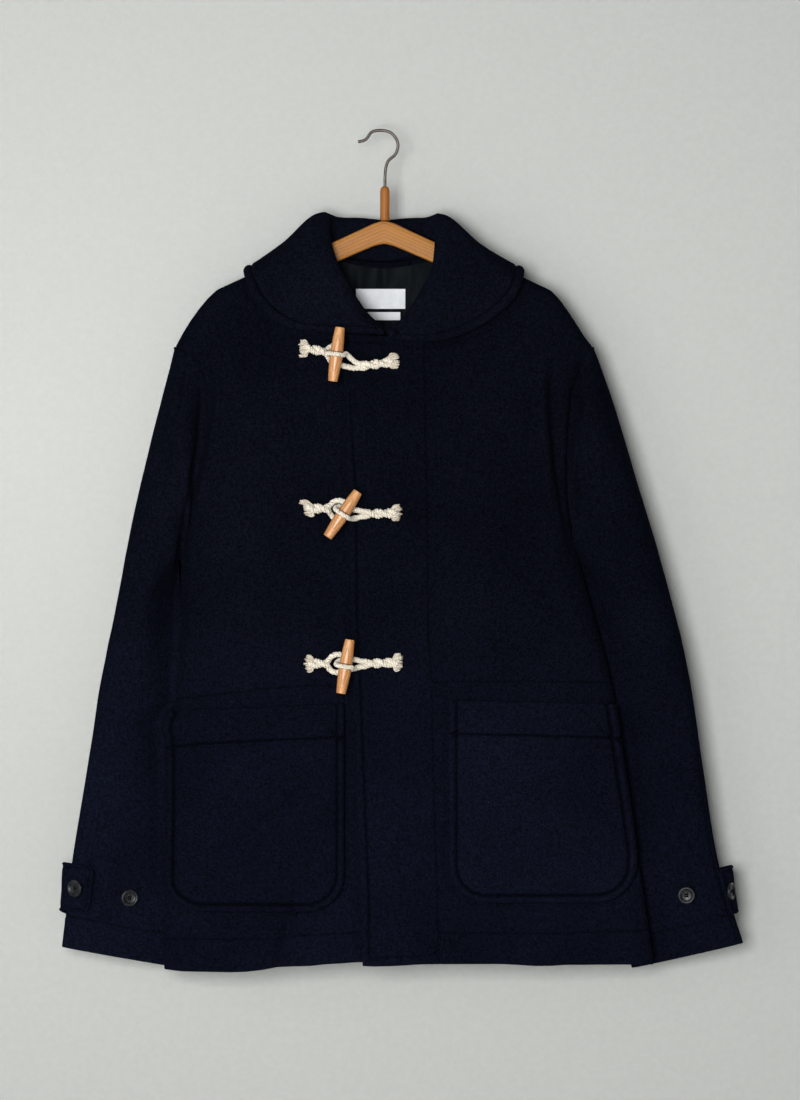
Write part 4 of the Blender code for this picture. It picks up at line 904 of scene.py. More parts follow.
# ------------------------------------------------------------------ materials
class Finish:
    """A material under way, with short names for the nodes that it is made of."""

    def __init__(self, name):
        self.material = bpy.data.materials.new(name)
        self.material.use_nodes = True
        self.tree = self.material.node_tree
        self.shader = self.tree.nodes["Principled BSDF"]
        self.where = self.add("TexCoord").outputs["Object"]

    def fill(self, node, inputs):
        """Link each input that is a socket, and set each that is a value."""
        for key, value in inputs.items():
            if isinstance(value, bpy.types.NodeSocket):
                self.tree.links.new(value, node.inputs[key])
            else:
                node.inputs[key].default_value = value

    def add(self, kind, inputs=None, **settings):
        made = self.tree.nodes.new("ShaderNode" + kind)
        for key, value in settings.items():
            setattr(made, key, value)
        self.fill(made, inputs or {})
        return made

    def done(self, colour, inputs):
        self.fill(self.shader, {"Base Color": colour, **inputs})
        return self.material

    def maths(self, operation, *values):
        return self.add("Math", dict(enumerate(values)), operation=operation).outputs[0]

    def times(self, first, second):
        return self.maths("MULTIPLY", first, second)

    def noise(self, scale, detail=3.0, roughness=0.6, distortion=0.0, where=None):
        return self.add("TexNoise", {
            "Vector": where or self.where, "Scale": scale, "Detail": detail,
            "Roughness": roughness, "Distortion": distortion}).outputs["Fac"]

    def stretched(self, scale, where=None):
        return self.add("Mapping", {"Vector": where or self.where, "Scale": scale}
                        ).outputs[0]

    def split(self, where=None):
        return self.add("SeparateXYZ", {0: where or self.where}).outputs

    def bands(self, inputs, direction):
        return self.add("TexWave", {"Vector": self.where, **inputs}, wave_type="BANDS",
                        bands_direction=direction).outputs["Fac"]

    def attribute(self, name):
        return self.add("Attribute", attribute_name=name).outputs["Fac"]

    def mapped(self, value, low, high, to_low=0.0, to_high=1.0, kind="SMOOTHSTEP"):
        return self.add("MapRange", {
            "Value": value, "From Min": low, "From Max": high, "To Min": to_low,
            "To Max": to_high}, interpolation_type=kind).outputs["Result"]

    def mixed(self, share, first, second, blend="MIX"):
        """A mix of two colours, each a socket or a plain (r, g, b)."""
        first, second = ((*value, 1) if isinstance(value, tuple) else value
                         for value in (first, second))
        made = self.add("Mix", data_type="RGBA", blend_type=blend)
        self.fill(made, {0: share, 6: first, 7: second})
        return made.outputs[2]

    def times_tone(self, colour, tone):
        grey = self.add("CombineColor", {0: tone, 1: tone, 2: tone}).outputs[0]
        return self.mixed(1.0, colour, grey, "MULTIPLY")

    def bumped(self, height, distance, strength=1.0, below=None):
        inputs = {"Height": height, "Distance": distance, "Strength": strength}
        if below is not None:
            inputs["Normal"] = below
        return self.add("Bump", inputs).outputs[0]


def scaled(colour, share):
    return tuple(value * share for value in colour)


def wool(name, tone=1.0, seam=0.35):
    """Napped wool: a fine heather of blue-black fibres, and stitch lines by attribute,
    with painted shade in their grooves.
    """
    m = Finish(name)
    dark, main, pale, warm = (scaled(colour, tone) for colour in (
        (0.0016, 0.0018, 0.0031), (0.0027, 0.0034, 0.0066), (0.0062, 0.0080, 0.0152),
        (0.0031, 0.0027, 0.0053)))
    fleck = m.noise(340, 3, 0.7, 0.6)
    colour = m.mixed(m.mapped(fleck, 0.40, 0.58), dark, main)
    colour = m.mixed(m.mapped(m.noise(600, 4, 0.75), 0.53, 0.68, 0, 0.72), colour, pale)
    colour = m.mixed(m.mapped(m.noise(180, 2, 0.5), 0.60, 0.72, 0, 0.45), colour, warm)
    colour = m.times_tone(colour, m.mapped(m.noise(9, 2, 0.5), 0.3, 0.7, 0.86, 1.14,
                                           "LINEAR"))
    # The colour is bluer and a little paler towards the hem and darker towards the
    # shoulders.
    colour = m.mixed(m.mapped(m.split()[2], -0.36, -0.74),
                     m.mixed(1.0, colour, (0.88, 0.88, 0.90), "MULTIPLY"),
                     m.mixed(1.0, colour, (1.04, 1.08, 1.25), "MULTIPLY"))
    lint = m.add("TexVoronoi", {"Vector": m.where, "Scale": 34.0})
    chosen = m.add("SeparateColor", {0: lint.outputs["Color"]}).outputs[0]
    speck = m.times(m.maths("LESS_THAN", lint.outputs[0], 0.016),
                    m.maths("GREATER_THAN", chosen, 0.86))
    colour = m.mixed(m.times(speck, 0.55), colour, (0.055, 0.060, 0.075))
    away = m.maths("ABSOLUTE", m.attribute("stitch"))
    groove_depth_and_shade = m.mapped(away, 0.2, 2.2, seam, 0.0)
    beat = m.maths("FRACT", m.maths("DIVIDE", m.attribute("stitch_length"), 3.4))
    dash = m.times(m.maths("LESS_THAN", beat, 0.74), m.mapped(away, 0.25, 0.6, seam, 0.0))
    # Painted shade: the stitch grooves are darkened in the colour, as strongly as seam
    # asks.
    colour = m.mixed(m.times(groove_depth_and_shade, 0.85), colour, scaled(dark, 0.30))
    colour = m.mixed(m.times(dash, 0.35), colour, (0.0022, 0.0030, 0.0060))
    normal = m.bumped(m.noise(1500, 4, 0.75), 0.0004, 0.55)
    normal = m.bumped(fleck, 0.0011, 0.5, normal)
    normal = m.bumped(m.noise(95, 3, 0.6), 0.0016, 0.25, normal)
    normal = m.bumped(m.maths("SUBTRACT", m.times(dash, 0.45), groove_depth_and_shade), 0.0014, 0.9,
                      normal)
    return m.done(colour, {
        "Normal": normal, "Roughness": m.mapped(fleck, 0.3, 0.7, 0.86, 1.0),
        "Specular IOR Level": 0.0, "Sheen Weight": 0.007, "Sheen Roughness": 0.42,
        "Sheen Tint": (0.55, 0.68, 1.0, 1)})


def cotton_lining():
    """Dark green-black twill, with painted light and shade of vertical wrinkles in long
    streaks, and painted shade in its stitch grooves.
    """
    m = Finish("lining_cotton")
    twill = m.bands({"Vector": m.stretched((1.0, 1.0, 0.7)), "Scale": 420.0,
                     "Distortion": 0.6, "Detail": 1.0}, "DIAGONAL")
    painted_wrinkle_streaks = m.noise(120, 3, 0.6, where=m.stretched((1.0, 1.0, 0.10)))
    groove_depth_and_shade = m.mapped(m.maths("ABSOLUTE", m.attribute("stitch")), 0.0, 1.0, 1.0, 0.0)
    # Painted light and shade: long vertical streaks, pale and dark, stand for the lining's
    # wrinkles.
    colour = m.mixed(m.mapped(painted_wrinkle_streaks, 0.3, 0.7), (0.0022, 0.0032, 0.0040),
                     (0.0074, 0.0098, 0.0118))
    colour = m.mixed(m.times(twill, 0.35), colour, (0.0015, 0.0021, 0.0028))
    # Painted shade: the stitch grooves are darkened in the colour.
    colour = m.mixed(m.times(groove_depth_and_shade, 0.7), colour, (0.0015, 0.002, 0.0025))
    normal = m.bumped(m.noise(60, 3, 0.5), 0.002, 0.3, m.bumped(twill, 0.0003, 0.6))
    normal = m.bumped(m.maths("SUBTRACT", 0.0, groove_depth_and_shade), 0.0006, 0.8, normal)
    return m.done(colour, {
        "Normal": normal, "Roughness": m.mapped(painted_wrinkle_streaks, 0.3, 0.7, 0.75, 0.9),
        "Specular IOR Level": 0.03})


def cotton_cord(name, main, shadow, pale, sheen=0.12):
    """Soft spun cotton, with fine fibres along and between the plies; the shadow colour is
    painted shade.
    """
    m = Finish(name)
    fibre = m.noise(2100, 4, 0.7, 0.8, m.stretched((1.0, 1.0, 1.6)))
    slub = m.noise(330, 3, 0.6)
    colour = m.mixed(m.mapped(slub, 0.3, 0.7), main, pale)
    # Painted shade: the shadow colour goes among the fibres, and by the hollow attribute
    # into the grooves between the plies and low in the tufts.
    colour = m.mixed(m.mapped(fibre, 0.30, 0.48, 0.45, 0.0), colour, shadow)
    colour = m.mixed(m.times(m.attribute("hollow"), 0.92), colour, shadow)
    return m.done(colour, {
        "Normal": m.bumped(slub, 0.0014, 0.5, m.bumped(fibre, 0.0008, 1.0)),
        "Roughness": m.mapped(fibre, 0.3, 0.7, 0.8, 0.97), "Specular IOR Level": sheen,
        "Sheen Weight": sheen, "Sheen Roughness": 0.5})


def wood(name, main, dark, pale, along_axis, scale, gloss, arch=0.0, turned=False,
         shine=0.15):
    """Straight-grained wood; the grain runs along one axis of the object.

    arch bends the grain down on both sides of the middle, as in a bent bar.
    """
    m = Finish(name)
    if arch:
        x, y, z = m.split()
        bent = m.maths("ADD", z, m.times(m.maths("ABSOLUTE", x), arch))
        m.where = m.add("CombineXYZ", {0: x, 1: y, 2: bent}).outputs[0]
    drawn, fine = (m.stretched(tuple(share if axis == along_axis else 1.0
                                     for axis in range(3))) for share in (0.07, 0.12))
    rings = m.noise(scale, 4, 0.55, 0.7, drawn)
    bands = m.bands({"Vector": drawn, "Scale": scale * 0.55, "Distortion": 3.2,
                     "Detail": 2.5, "Detail Scale": 1.3},
                    "Z" if along_axis == 0 else "X")
    pores = m.noise(scale * 9, 2, 0.5, where=fine)
    colour = m.mixed(m.mapped(rings, 0.32, 0.68), main, pale)
    colour = m.mixed(m.mapped(bands, 0.55, 0.95, 0, 0.38), colour, dark)
    colour = m.mixed(m.mapped(pores, 0.62, 0.74, 0, 0.4), colour, scaled(dark, 0.6))
    if turned:
        # Thin dark brown rings on both sides of the seat for the rope.
        place = m.split()[2]
        for line, width, share in ((0.0031, 0.0007, 0.9), (-0.0023, 0.0005, 0.6)):
            apart = m.maths("ABSOLUTE", m.maths("SUBTRACT", place, line))
            colour = m.mixed(m.mapped(apart, 0.0, width, share, 0.0), colour,
                             (0.075, 0.024, 0.008))
        worn = m.mapped(m.maths("ABSOLUTE", place), 0.0285, 0.0300)
        colour = m.mixed(m.times(worn, 0.35), colour, pale)
    return m.done(colour, {
        "Normal": m.bumped(bands, 0.0003, 0.25, m.bumped(pores, 0.0002, 0.4)),
        "Roughness": m.mapped(rings, 0.3, 0.7, gloss, gloss + 0.14),
        "Specular IOR Level": shine})


def horn():
    """Dark polished horn with paler clouds."""
    m = Finish("button_horn")
    clouds = m.noise(170, 4, 0.6, 1.4, m.stretched((1.0, 0.45, 1.0)))
    streaks = m.noise(620, 3, 0.6, where=m.stretched((0.3, 1.0, 1.0)))
    colour = m.mixed(m.mapped(clouds, 0.40, 0.66), (0.0040, 0.0046, 0.0060),
                     (0.0140, 0.0155, 0.0185))
    colour = m.mixed(m.mapped(streaks, 0.60, 0.72, 0, 0.6), colour, (0.040, 0.040, 0.040))
    return m.done(colour, {
        "Normal": m.bumped(streaks, 0.0002, 0.35),
        "Roughness": m.mapped(clouds, 0.3, 0.7, 0.28, 0.46), "Specular IOR Level": 0.20})


def label_weave():
    """White woven satin tape."""
    m = Finish("label_weave")
    both = m.times(m.bands({"Scale": 900.0, "Distortion": 0.2}, "X"),
                   m.bands({"Scale": 560.0, "Distortion": 0.3}, "Z"))
    blot = m.noise(90, 3, 0.6)
    colour = m.mixed(m.mapped(blot, 0.3, 0.7), (0.560, 0.580, 0.605),
                     (0.615, 0.632, 0.655))
    colour = m.mixed(m.times(both, 0.18), colour, (0.50, 0.52, 0.55))
    return m.done(colour, {
        "Normal": m.bumped(blot, 0.001, 0.3, m.bumped(both, 0.00025, 0.5)),
        "Roughness": m.mapped(blot, 0.3, 0.7, 0.55, 0.7)})


def steel():
    """Drawn wire, stained with age."""
    m = Finish("hook_steel")
    stain = m.noise(110, 3, 0.6)
    drawn = m.noise(700, 3, 0.6, where=m.stretched((1.0, 1.0, 0.3)))
    colour = m.mixed(m.mapped(stain, 0.35, 0.65), (0.056, 0.046, 0.040),
                     (0.112, 0.100, 0.090))
    return m.done(colour, {
        "Normal": m.bumped(drawn, 0.0002, 0.3), "Metallic": 1.0,
        "Roughness": m.mapped(stain, 0.3, 0.7, 0.30, 0.5)})


WOOL = wool("coat_wool")
WOOL_POCKETS = {-1: wool("pocket_wool_right", 0.97, 0.7),
                1: wool("pocket_wool_left", 1.14, 0.7)}
WOOL_COLLAR = wool("collar_wool", 1.24, 0.85)
# Painted light: the sleeve on the lit side, the wearer's right, is given a paler tone than
# the other.
SLEEVE_WOOL_WITH_PAINTED_LIGHT = {-1: wool("sleeve_wool_right_painted_lit", 1.22, 0.3),
                1: wool("sleeve_wool_left", 0.97, 0.3)}
LINING = cotton_lining()
ROPE = cotton_cord("rope_cotton", (0.67, 0.60, 0.48), (0.24, 0.155, 0.080),
                   (0.80, 0.755, 0.66))
LOOP = cotton_cord("loop_cotton", (0.0012, 0.0016, 0.0026), (0.0005, 0.0006, 0.0009),
                   (0.002, 0.003, 0.0045), 0.01)
TOGGLE_WOOD = wood("toggle_wood", (0.41, 0.180, 0.064), (0.20, 0.066, 0.017),
                   (0.50, 0.255, 0.104), 2, 300, 0.22, turned=True, shine=0.35)
HANGER_WOOD = wood("hanger_wood", (0.262, 0.107, 0.0235), (0.150, 0.052, 0.009),
                   (0.325, 0.142, 0.036), 0, 150, 0.36, 0.44, shine=0.10)
DOWEL_WOOD = wood("dowel_wood", (0.22, 0.077, 0.0150), (0.130, 0.040, 0.007),
                  (0.275, 0.104, 0.024), 2, 260, 0.36)
HORN = horn()
LABEL = label_weave()
STEEL = steel()


def dressed(piece, material, slot, *nodes):
    """Give a piece its material, hang it from the root body and hide the CAD nodes that it
    stands for.
    """
    piece.data.materials.append(material)
    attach(piece, "root")
    if nodes:
        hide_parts(*nodes)
    return piece


def cloth(size):
    wide, long, area = size
    long = max(long, LEAST_LENGTH)


# ------------------------------------------------------------------ back and fronts
def four_sided(bottom, top, inner, outer, rows, cols):
    u, v = cols[None, :, None], rows[:, None, None]
    low, high = bottom(cols)[None], top(cols)[None]
    near, far = inner(rows)[:, None], outer(rows)[:, None]
    corners = ((1 - u) * (1 - v) * low[:, :1] + u * (1 - v) * low[:, -1:]
               + (1 - u) * v * high[:, :1] + u * v * high[:, -1:])
    return (1 - v) * low + v * high + (1 - u) * near + u * far - corners


def two_legs(first, second, turn):
    def place(shares):
        lower = along(first, np.clip(shares / turn, 0, 1))
        upper = along(second, np.clip((shares - turn) / (1 - turn), 0, 1))
        return np.where((shares <= turn)[:, None], lower, upper)
    return place


def side_legs(sign):
    low = np.linspace(HEM, ARMPIT, 60)
    high = np.linspace(ARMPIT, SHOULDER, 80)
    seam = np.stack((sign * edge_out(sign, low), low), axis=1)
    hole = np.stack((sign * edge_out(sign, high), high), axis=1)
    return two_legs(seam, hole, SIDE_TURN)


PANEL_TALL = 780.0
SEAM_COLS = 3                   # columns over which a side seam's normals turn level
FRONT_WIDE = 300.0
CLOTH_ROUND = 2.0               # mm in which the wool's edges round off


def panel_rows():
    """Shares of a panel's height, close at the hem and the shoulder."""
    return end_steps(PANEL_TALL, STEP) / PANEL_TALL


def raised(flat, face, depth):
    """The grid in 3-D, with its outward normals."""
    grid = np.stack((flat[..., 0], depth, flat[..., 1]), axis=-1)
    return grid, facing(grid, (0, face, 0))


def level_seams(normals, rows, cols):
    """Turn the normals level along a side seam, where the other panel meets it."""
    for col, sign in cols:
        for step in range(SEAM_COLS):
            j = step if col == 0 else col - step
            share = ((1 - step / SEAM_COLS) * (rows <= SIDE_TURN))[:, None]
            goal = np.array((sign, 0.0, 0.0))
            normals[:, j] = unit(normals[:, j] * (1 - share) + goal * share)
    return normals


def settle(x, z, start):
    """From 1 to 0 at the body's edge, where a panel keeps to its plain form."""
    return 1 - smooth(np.abs(x) / edge_out(np.where(x == 0, 1, x), z), start, 1)


def make_front(sign):
    heights = np.linspace(HEM, NECK_FRONT + 1.5, 60)
    if sign > 0:
        edge = np.stack((placket_line(heights), heights), axis=1)
        start = -PLACKET_EDGE["x"][-1]
    else:
        edge = np.array([(UNDERLAP_EDGE, HEM), (UNDERLAP_EDGE, NECK_FRONT)], float)
        start = UNDERLAP_EDGE
    outs = np.linspace(0, NECK_OUT, 60)
    neck = [(-sign * start, edge[-1][1]), *zip(sign * outs, neckline_front(outs))]
    outs = np.linspace(NECK_OUT, SHOULDER_OUT, 80)
    shoulder = list(zip(sign * outs, ridge(sign * outs)))
    hem = [edge[0], (sign * edge_out(sign, HEM), HEM)]
    near = np.array((0, 0.35, 0.8, 1.4, 2.2, 3.4, 4.8, 6.2, 7.4, 8.4, 9.2, 10.0, 11.0,
                     12.4)) / FRONT_WIDE
    count = int(FRONT_WIDE * 0.5 * np.pi / 2 / STEP * 1.22)
    angles = np.linspace(math.asin(near[-1]), np.pi / 2, count)
    cols = np.concatenate((near[:-1], np.sin(angles)))
    rows = panel_rows()
    flat = four_sided(lambda s: along(hem, s), lambda s: along(shoulder, s),
                      two_legs(edge, neck, NECK_TURN), side_legs(sign), rows, cols)
    flat[..., 1] += hem_drop(sign, flat[..., 0], flat[..., 1])
    x, z = flat[..., 0], flat[..., 1]
    still = settle(x, z, 0.955)
    calm = 1 - smooth(rows, 0.985, 1.0)[:, None]
    depth = skin(x, z, -1)
    if sign > 0:
        depth = depth - placket_raise(x)
    grid, normals = raised(flat, -1, depth)
    normals = level_seams(normals, rows, ((-1, sign),))
    rise = front_rise(sign, x, z) * (0.15 + 0.85 * still) * (0.3 + 0.7 * calm)
    rise = rise + grooves(x, z, GROOVES_FRONT[sign]) * still
    # The cloth sinks along the pocket's edge.
    outline = pocket_outline(pocket_flat(0 if sign < 0 else 1))[::3]
    rise = rise - 3.0 * np.exp(-(line_distance(x, z, outline)[0] / 4.0) ** 2)
    grid = grid + normals * rise[..., None]
    grid[:, -1, 1] -= GAP / 2 * (rows <= SIDE_TURN)
    grid[-1, :, 1] -= GAP / 2
    normals = facing(grid, (0, -1, 0))
    normals = level_seams(normals, rows, ((-1, sign),))
    name = f"front_{side_name(sign)}"
    made = shell(f"{name}_cloth", grid, normals, CLOTH, radius=CLOTH_ROUND,
                 seams=stitched(x, z, STITCH_FRONT[sign]))
    dressed(made, WOOL, "wool", name)
    cloth(cut_size(grid))


def back_rise(x, z):
    distance, length = stitched(x, z, STITCH_BACK)
    shape = creases(x, z, BACK_CREASES) + ripple(x, z, 41)
    return shape + pucker(distance, length) + 0.5 * (1 - smooth(z - HEM, 20, 32))


def make_back():
    coarse = np.sin(np.linspace(0, np.pi / 2, BACK_COLS))
    neck_share = coarse[len(BACK_NECK) - 1]
    half = np.sin(np.linspace(0, np.pi / 2, int(262 * 1.22 / (STEP * 1.15))))
    cols = np.concatenate((-half[:0:-1], half)) / 2 + 0.5
    hem = [(-edge_out(-1, HEM), HEM), (edge_out(1, HEM), HEM)]

    def top(shares):
        apart = (np.asarray(shares) - 0.5) * 2
        reach = np.abs(apart)
        inner = np.interp(reach, coarse[:len(BACK_NECK)], BACK_NECK)
        outer = NECK_OUT + (reach - neck_share) / (1 - neck_share) * (
            SHOULDER_OUT - NECK_OUT)
        out = np.where(reach <= neck_share, inner, outer)
        sign = np.where(apart < 0, -1, 1)
        height = np.where(out < NECK_OUT, neckline_back(out), ridge(sign * out))
        return np.stack((sign * out, height), axis=1)

    rows = panel_rows()
    flat = four_sided(lambda s: along(hem, s), top, side_legs(-1), side_legs(1), rows,
                      cols)
    flat[..., 1] += hem_drop(0, flat[..., 0], flat[..., 1])
    x, z = flat[..., 0], flat[..., 1]
    still = settle(x, z, 0.93)
    calm = 1 - smooth(rows, 0.97, 1.0)[:, None]
    grid, normals = raised(flat, 1, skin(x, z, 1))
    normals = level_seams(normals, rows, ((0, -1), (-1, 1)))
    rise = back_rise(x, z) * (0.15 + 0.85 * still) * (0.2 + 0.8 * calm)
    grid = grid + normals * rise[..., None]
    on_shoulder = np.abs(flat[-1, :, 0]) >= NECK_OUT
    grid[:, 0, 1] += GAP / 2 * (rows <= SIDE_TURN)
    grid[:, -1, 1] += GAP / 2 * (rows <= SIDE_TURN)
    grid[-1, :, 1] += GAP / 2 * on_shoulder
    normals = facing(grid, (0, 1, 0))
    normals = level_seams(normals, rows, ((0, -1), (-1, 1)))
    made = shell("back_cloth", grid, normals, CLOTH, radius=CLOTH_ROUND,
                 seams=stitched(x, z, STITCH_BACK))
    dressed(made, WOOL, "wool", "back")
    cloth(cut_size(grid))


# ------------------------------------------------------------------ sleeves
SLEEVE_CREASES = {
    -1: [
        (seen((187, 326), (182, 353), (176, 397), (169, 438), (164, 473), (156, 520)),
         4.6, 5.0),
        (seen((205, 344), (205, 400), (203, 444), (197, 482), (189, 520), (183, 560),
              (179, 640)), 6.5, -8.0),
        (seen((178, 350), (168, 392), (158, 440)), 9, -1.0),
        (seen((160, 500), (152, 560), (149, 620)), 14, 1.4),
        (seen((136, 560), (131, 610), (118, 660)), 12, -1.4),
        (seen((172, 560), (165, 620), (160, 680)), 11, -1.3),
        (seen((150, 640), (128, 700), (120, 760)), 14, 1.5),
        (seen((104, 700), (96, 770), (88, 830)), 10, -1.1),
        (seen((150, 760), (140, 830), (136, 900)), 15, -1.2),
        (seen((112, 800), (108, 860), (110, 930)), 13, 1.2),
    ],
    1: [
        (seen((575, 362), (574, 430), (580, 482), (590, 550)), 7.5, -6.0),
        (seen((592, 372), (600, 430), (610, 490)), 9, 1.3),
        (seen((612, 450), (626, 520), (640, 590)), 12, -1.2),
        (seen((606, 540), (620, 600), (636, 660)), 12, 1.5),
        (seen((640, 560), (660, 620), (672, 680)), 12, 1.2),
        (seen((622, 640), (640, 700), (652, 760)), 12, -1.4),
        (seen((668, 680), (680, 750), (690, 820)), 12, -1.2),
        (seen((650, 740), (662, 810), (668, 880)), 15, 1.3),
        (seen((690, 850), (694, 890), (700, 930)), 9, -1.0),
    ],
}
CUFF_STITCH = {-1: 9.62, 1: 9.63}


def make_armhole_seam(sign):
    """The seam allowance inside an armhole, which fills the seam from within."""
    angles = np.pi + np.linspace(0, 2 * np.pi, 160)
    ring = armhole_ring(sign, np.mod(angles, 2 * np.pi))
    run = np.gradient(ring, axis=0)
    out = unit(np.stack((0 * angles, run[:, 2], -run[:, 1]), axis=1))
    out[np.einsum("ij,ij->i", out, ring - ring.mean(axis=0)) < 0] *= -1
    route = ring - 1.6 * out - (sign * 0.25, 0, 0)
    points, quads = sweep(route, 1.7, 10)[:2]
    made = mesh_object(f"armhole_seam_{side_name(sign)}_wool", points, quads,
                       {"stitch": np.full(len(points), 1.9),
                        "stitch_length": np.zeros(len(points))})
    dressed(made, WOOL, "wool")


def armhole_ring(sign, angles):
    z = (SHOULDER + ARMPIT) / 2 + (SHOULDER - ARMPIT) / 2 * np.cos(angles)
    z = np.clip(z, ARMPIT, SHOULDER)
    front = angles < np.pi
    out = edge_out(sign, z) + SLEEVE_GAP
    inside = sign * (out - SLEEVE_GAP)
    depth = np.where(front, skin(inside, z, -1), skin(inside, z, 1))
    return np.stack((sign * out, depth, z), axis=1)


def sleeve_grid(sign, params, angles):
    """The sleeve's outer face, for the CAD's row parameters and angles round it."""
    angles = np.mod(angles, 2 * np.pi)
    table = SLEEVES[sign]
    rings = [armhole_ring(sign, angles)]
    for k in range(len(table["depth"])):
        row = {name: values[k] for name, values in table.items()}
        outer = np.array((sign * row["outer_x"], row["outer_y"], row["outer_z"]))
        inner = np.array((sign * row["inner_x"], row["inner_y"], row["inner_z"]))
        sine, cosine = np.sin(angles)[:, None], np.cos(angles)[:, None]
        ring = (outer + inner) / 2 + (outer - inner) / 2 * cosine
        push = np.array((-sign * row["hollow"], 0, 0)) * sine ** 2
        rings.append(ring + push + np.array((0, -row["depth"], 0)) * sine)
    rings = np.array(rings)
    knots = np.arange(len(rings), dtype=float)
    grid = through(knots, rings.reshape(len(rings), -1), params)
    return tucked(grid.reshape(len(params), len(angles), 3), params)


def tucked(grid, params):
    """Keep a sleeve behind the body where it lies within the body's edge."""
    x, y, z = grid[..., 0], grid[..., 1], grid[..., 2]
    sign = np.where(x > 0, 1, -1)
    low = np.maximum(z, HEM)
    edge = edge_out(sign, np.minimum(low, ARMPIT))
    deep = np.maximum(0.05, smooth(ARMPIT - z, 0, TUCK_FADE))
    past = np.abs(x) - edge - 1 - (TUCK_REACH - 1) * deep
    side = edge_depth(low, 1)
    inside = sign * np.minimum(np.abs(x), edge - 0.1)
    least = np.where(past > 0, side + TUCK_GAP - past / deep,
                     np.maximum(side, skin(inside, low, 1)) + TUCK_GAP)
    free = (z > ARMPIT - 2) | (z < HEM - 30) | (np.asarray(params)[:, None] <= 0)
    grid = grid.copy()
    half = (y - least) / 2
    soft = least + half + np.sqrt(half ** 2 + TUCK_BEND ** 2)
    grid[..., 1] = np.where(free, y, y + (soft - y) * smooth(ARMPIT - z, -2, 40))
    return grid


def make_sleeve(sign):
    around = 116
    angles = np.linspace(0, 2 * np.pi, around, endpoint=False)
    shares = end_steps(700, 3.8) / 700
    probe = sleeve_grid(sign, np.linspace(0, 10, 400), np.array((1.2,)))[:, 0]
    reach = np.concatenate(([0], np.cumsum(np.linalg.norm(np.diff(probe, axis=0),
                                                          axis=1))))
    params = np.interp(shares * reach[-1], reach, np.linspace(0, 10, 400))
    grid = sleeve_grid(sign, params, angles)
    normals = grid_normals(grid, True)
    middle = len(params) // 2
    if np.dot(normals[middle, 0], grid[middle, 0] - grid[middle].mean(axis=0)) < 0:
        normals = -normals
    x, z = grid[..., 0], grid[..., 2]
    front = smooth(-normals[..., 1], -0.15, 0.35)
    shape = creases(x, z, SLEEVE_CREASES[sign]) * front
    mirrored = [([(px + 6 * sign, pz + 9) for px, pz in points], width * 1.1, height * 0.9)
                for points, width, height in SLEEVE_CREASES[sign][2:]]
    shape = shape + creases(x, z, mirrored) * (1 - front)
    shape = shape + ripple(angles[None, :] * 50 + 0 * z, z, 61 if sign < 0 else 71)
    # The folds are lower along the outer edge.
    shape = shape * np.where(np.abs(angles - np.pi) < np.pi * 0.97, 1.0, 0.6)
    down = shares * reach[-1]
    distance = (down - np.interp(CUFF_STITCH[sign], params, down))[:, None] + 0 * z
    length = angles[None, :] * 55 + 0 * z
    shape = shape + pucker(distance, length)
    if sign > 0:
        # The right-hand sleeve in the picture shows its back seam near the outer edge.
        seam = 0.30 + 0.10 * smooth(params, 6.2, 8.8)
        apart = (angles[None, :] - seam[:, None]) * 45
    else:
        apart = (np.mod(angles[None, :] + np.pi, 2 * np.pi) - np.pi + 0.75) * 45 + 0 * z
    on = smooth(params, 5.4, 6.2)[:, None]
    shape = shape - 0.8 * on * np.exp(-(apart / 2.0) ** 2)
    nearer = (np.abs(apart) < np.abs(distance)) & (on > 0.4)
    distance = np.where(nearer, apart, distance)
    length = np.where(nearer, down[:, None] + 0 * z, length)
    calm = smooth(params, 0.0, 0.13)[:, None]
    grid = grid + normals * (shape * (0.1 + 0.9 * calm))[..., None]
    normals = grid_normals(grid, True)
    if np.dot(normals[middle, 0], grid[middle, 0] - grid[middle].mean(axis=0)) < 0:
        normals = -normals
    centre = grid[0].mean(axis=0)
    outward = grid[0] - centre
    outward[:, 0] = 0
    goal = unit(outward)
    for i in range(4):
        normals[i] = unit(normals[i] * i / 4 + goal * (1 - i / 4))
    name = f"sleeve_{side_name(sign)}"
    made = shell(f"{name}_cloth", grid, normals, CLOTH, ("low", "high"), 1.2, True,
                 (distance, length))
    dressed(made, SLEEVE_WOOL_WITH_PAINTED_LIGHT[sign], "wool", name)
    cloth(cut_size(grid, True))
    return params, angles, grid, normals


# ------------------------------------------------------------------ collar
def collar_section(sign, k):
    row = {name: values[k] for name, values in COLLAR_SIDES[sign].items()}
    turn = math.radians(row["turn"])
    out_dir = unit(np.array((sign * math.sin(turn), -math.cos(turn),
                             0.35 * math.sin(turn) ** 2)))
    front = row["turn"] < 91
    face = -1 if front else 1
    neck_x = sign * row["neck"]
    neck_z = neckline_front(row["neck"]) if front else neckline_back(row["neck"])
    neck_y = skin(neck_x, neck_z, face) - face * CLOTH / 2
    if sign > 0 and front:
        neck_y -= placket_raise(neck_x)
    neck = np.array((neck_x, neck_y, neck_z), float)
    roll = np.array((sign * row["roll_x"], row["roll_y"], row["roll_z"]))
    edge_x = sign * row["edge_x"]
    edge_z = row["edge_z"]
    edge_y = skin(edge_x, min(edge_z, float(ridge(edge_x))), face) + face * row["lift"]
    if row["turn"] < 60:
        edge_y = edge_y - (placket_raise(edge_x) if abs(edge_x) < 60 else 0.0)
    if abs(row["turn"] - 90) < 1:
        edge_y = 0.0
    edge = np.array((edge_x, edge_y, edge_z), float)
    neck = neck + unit(roll - neck) * NECK_SEAM
    radius = min(ROLL_RADIUS, 0.45 * np.linalg.norm(edge - roll) + 1.2)
    stand = roll + unit(neck - roll) * radius - out_dir * radius
    fall = roll + unit(edge - roll) * radius + out_dir * radius
    return np.array((neck, (neck + stand) / 2, stand, roll, fall,
                     (fall + edge) / 2 + out_dir * row["bulge"], edge))


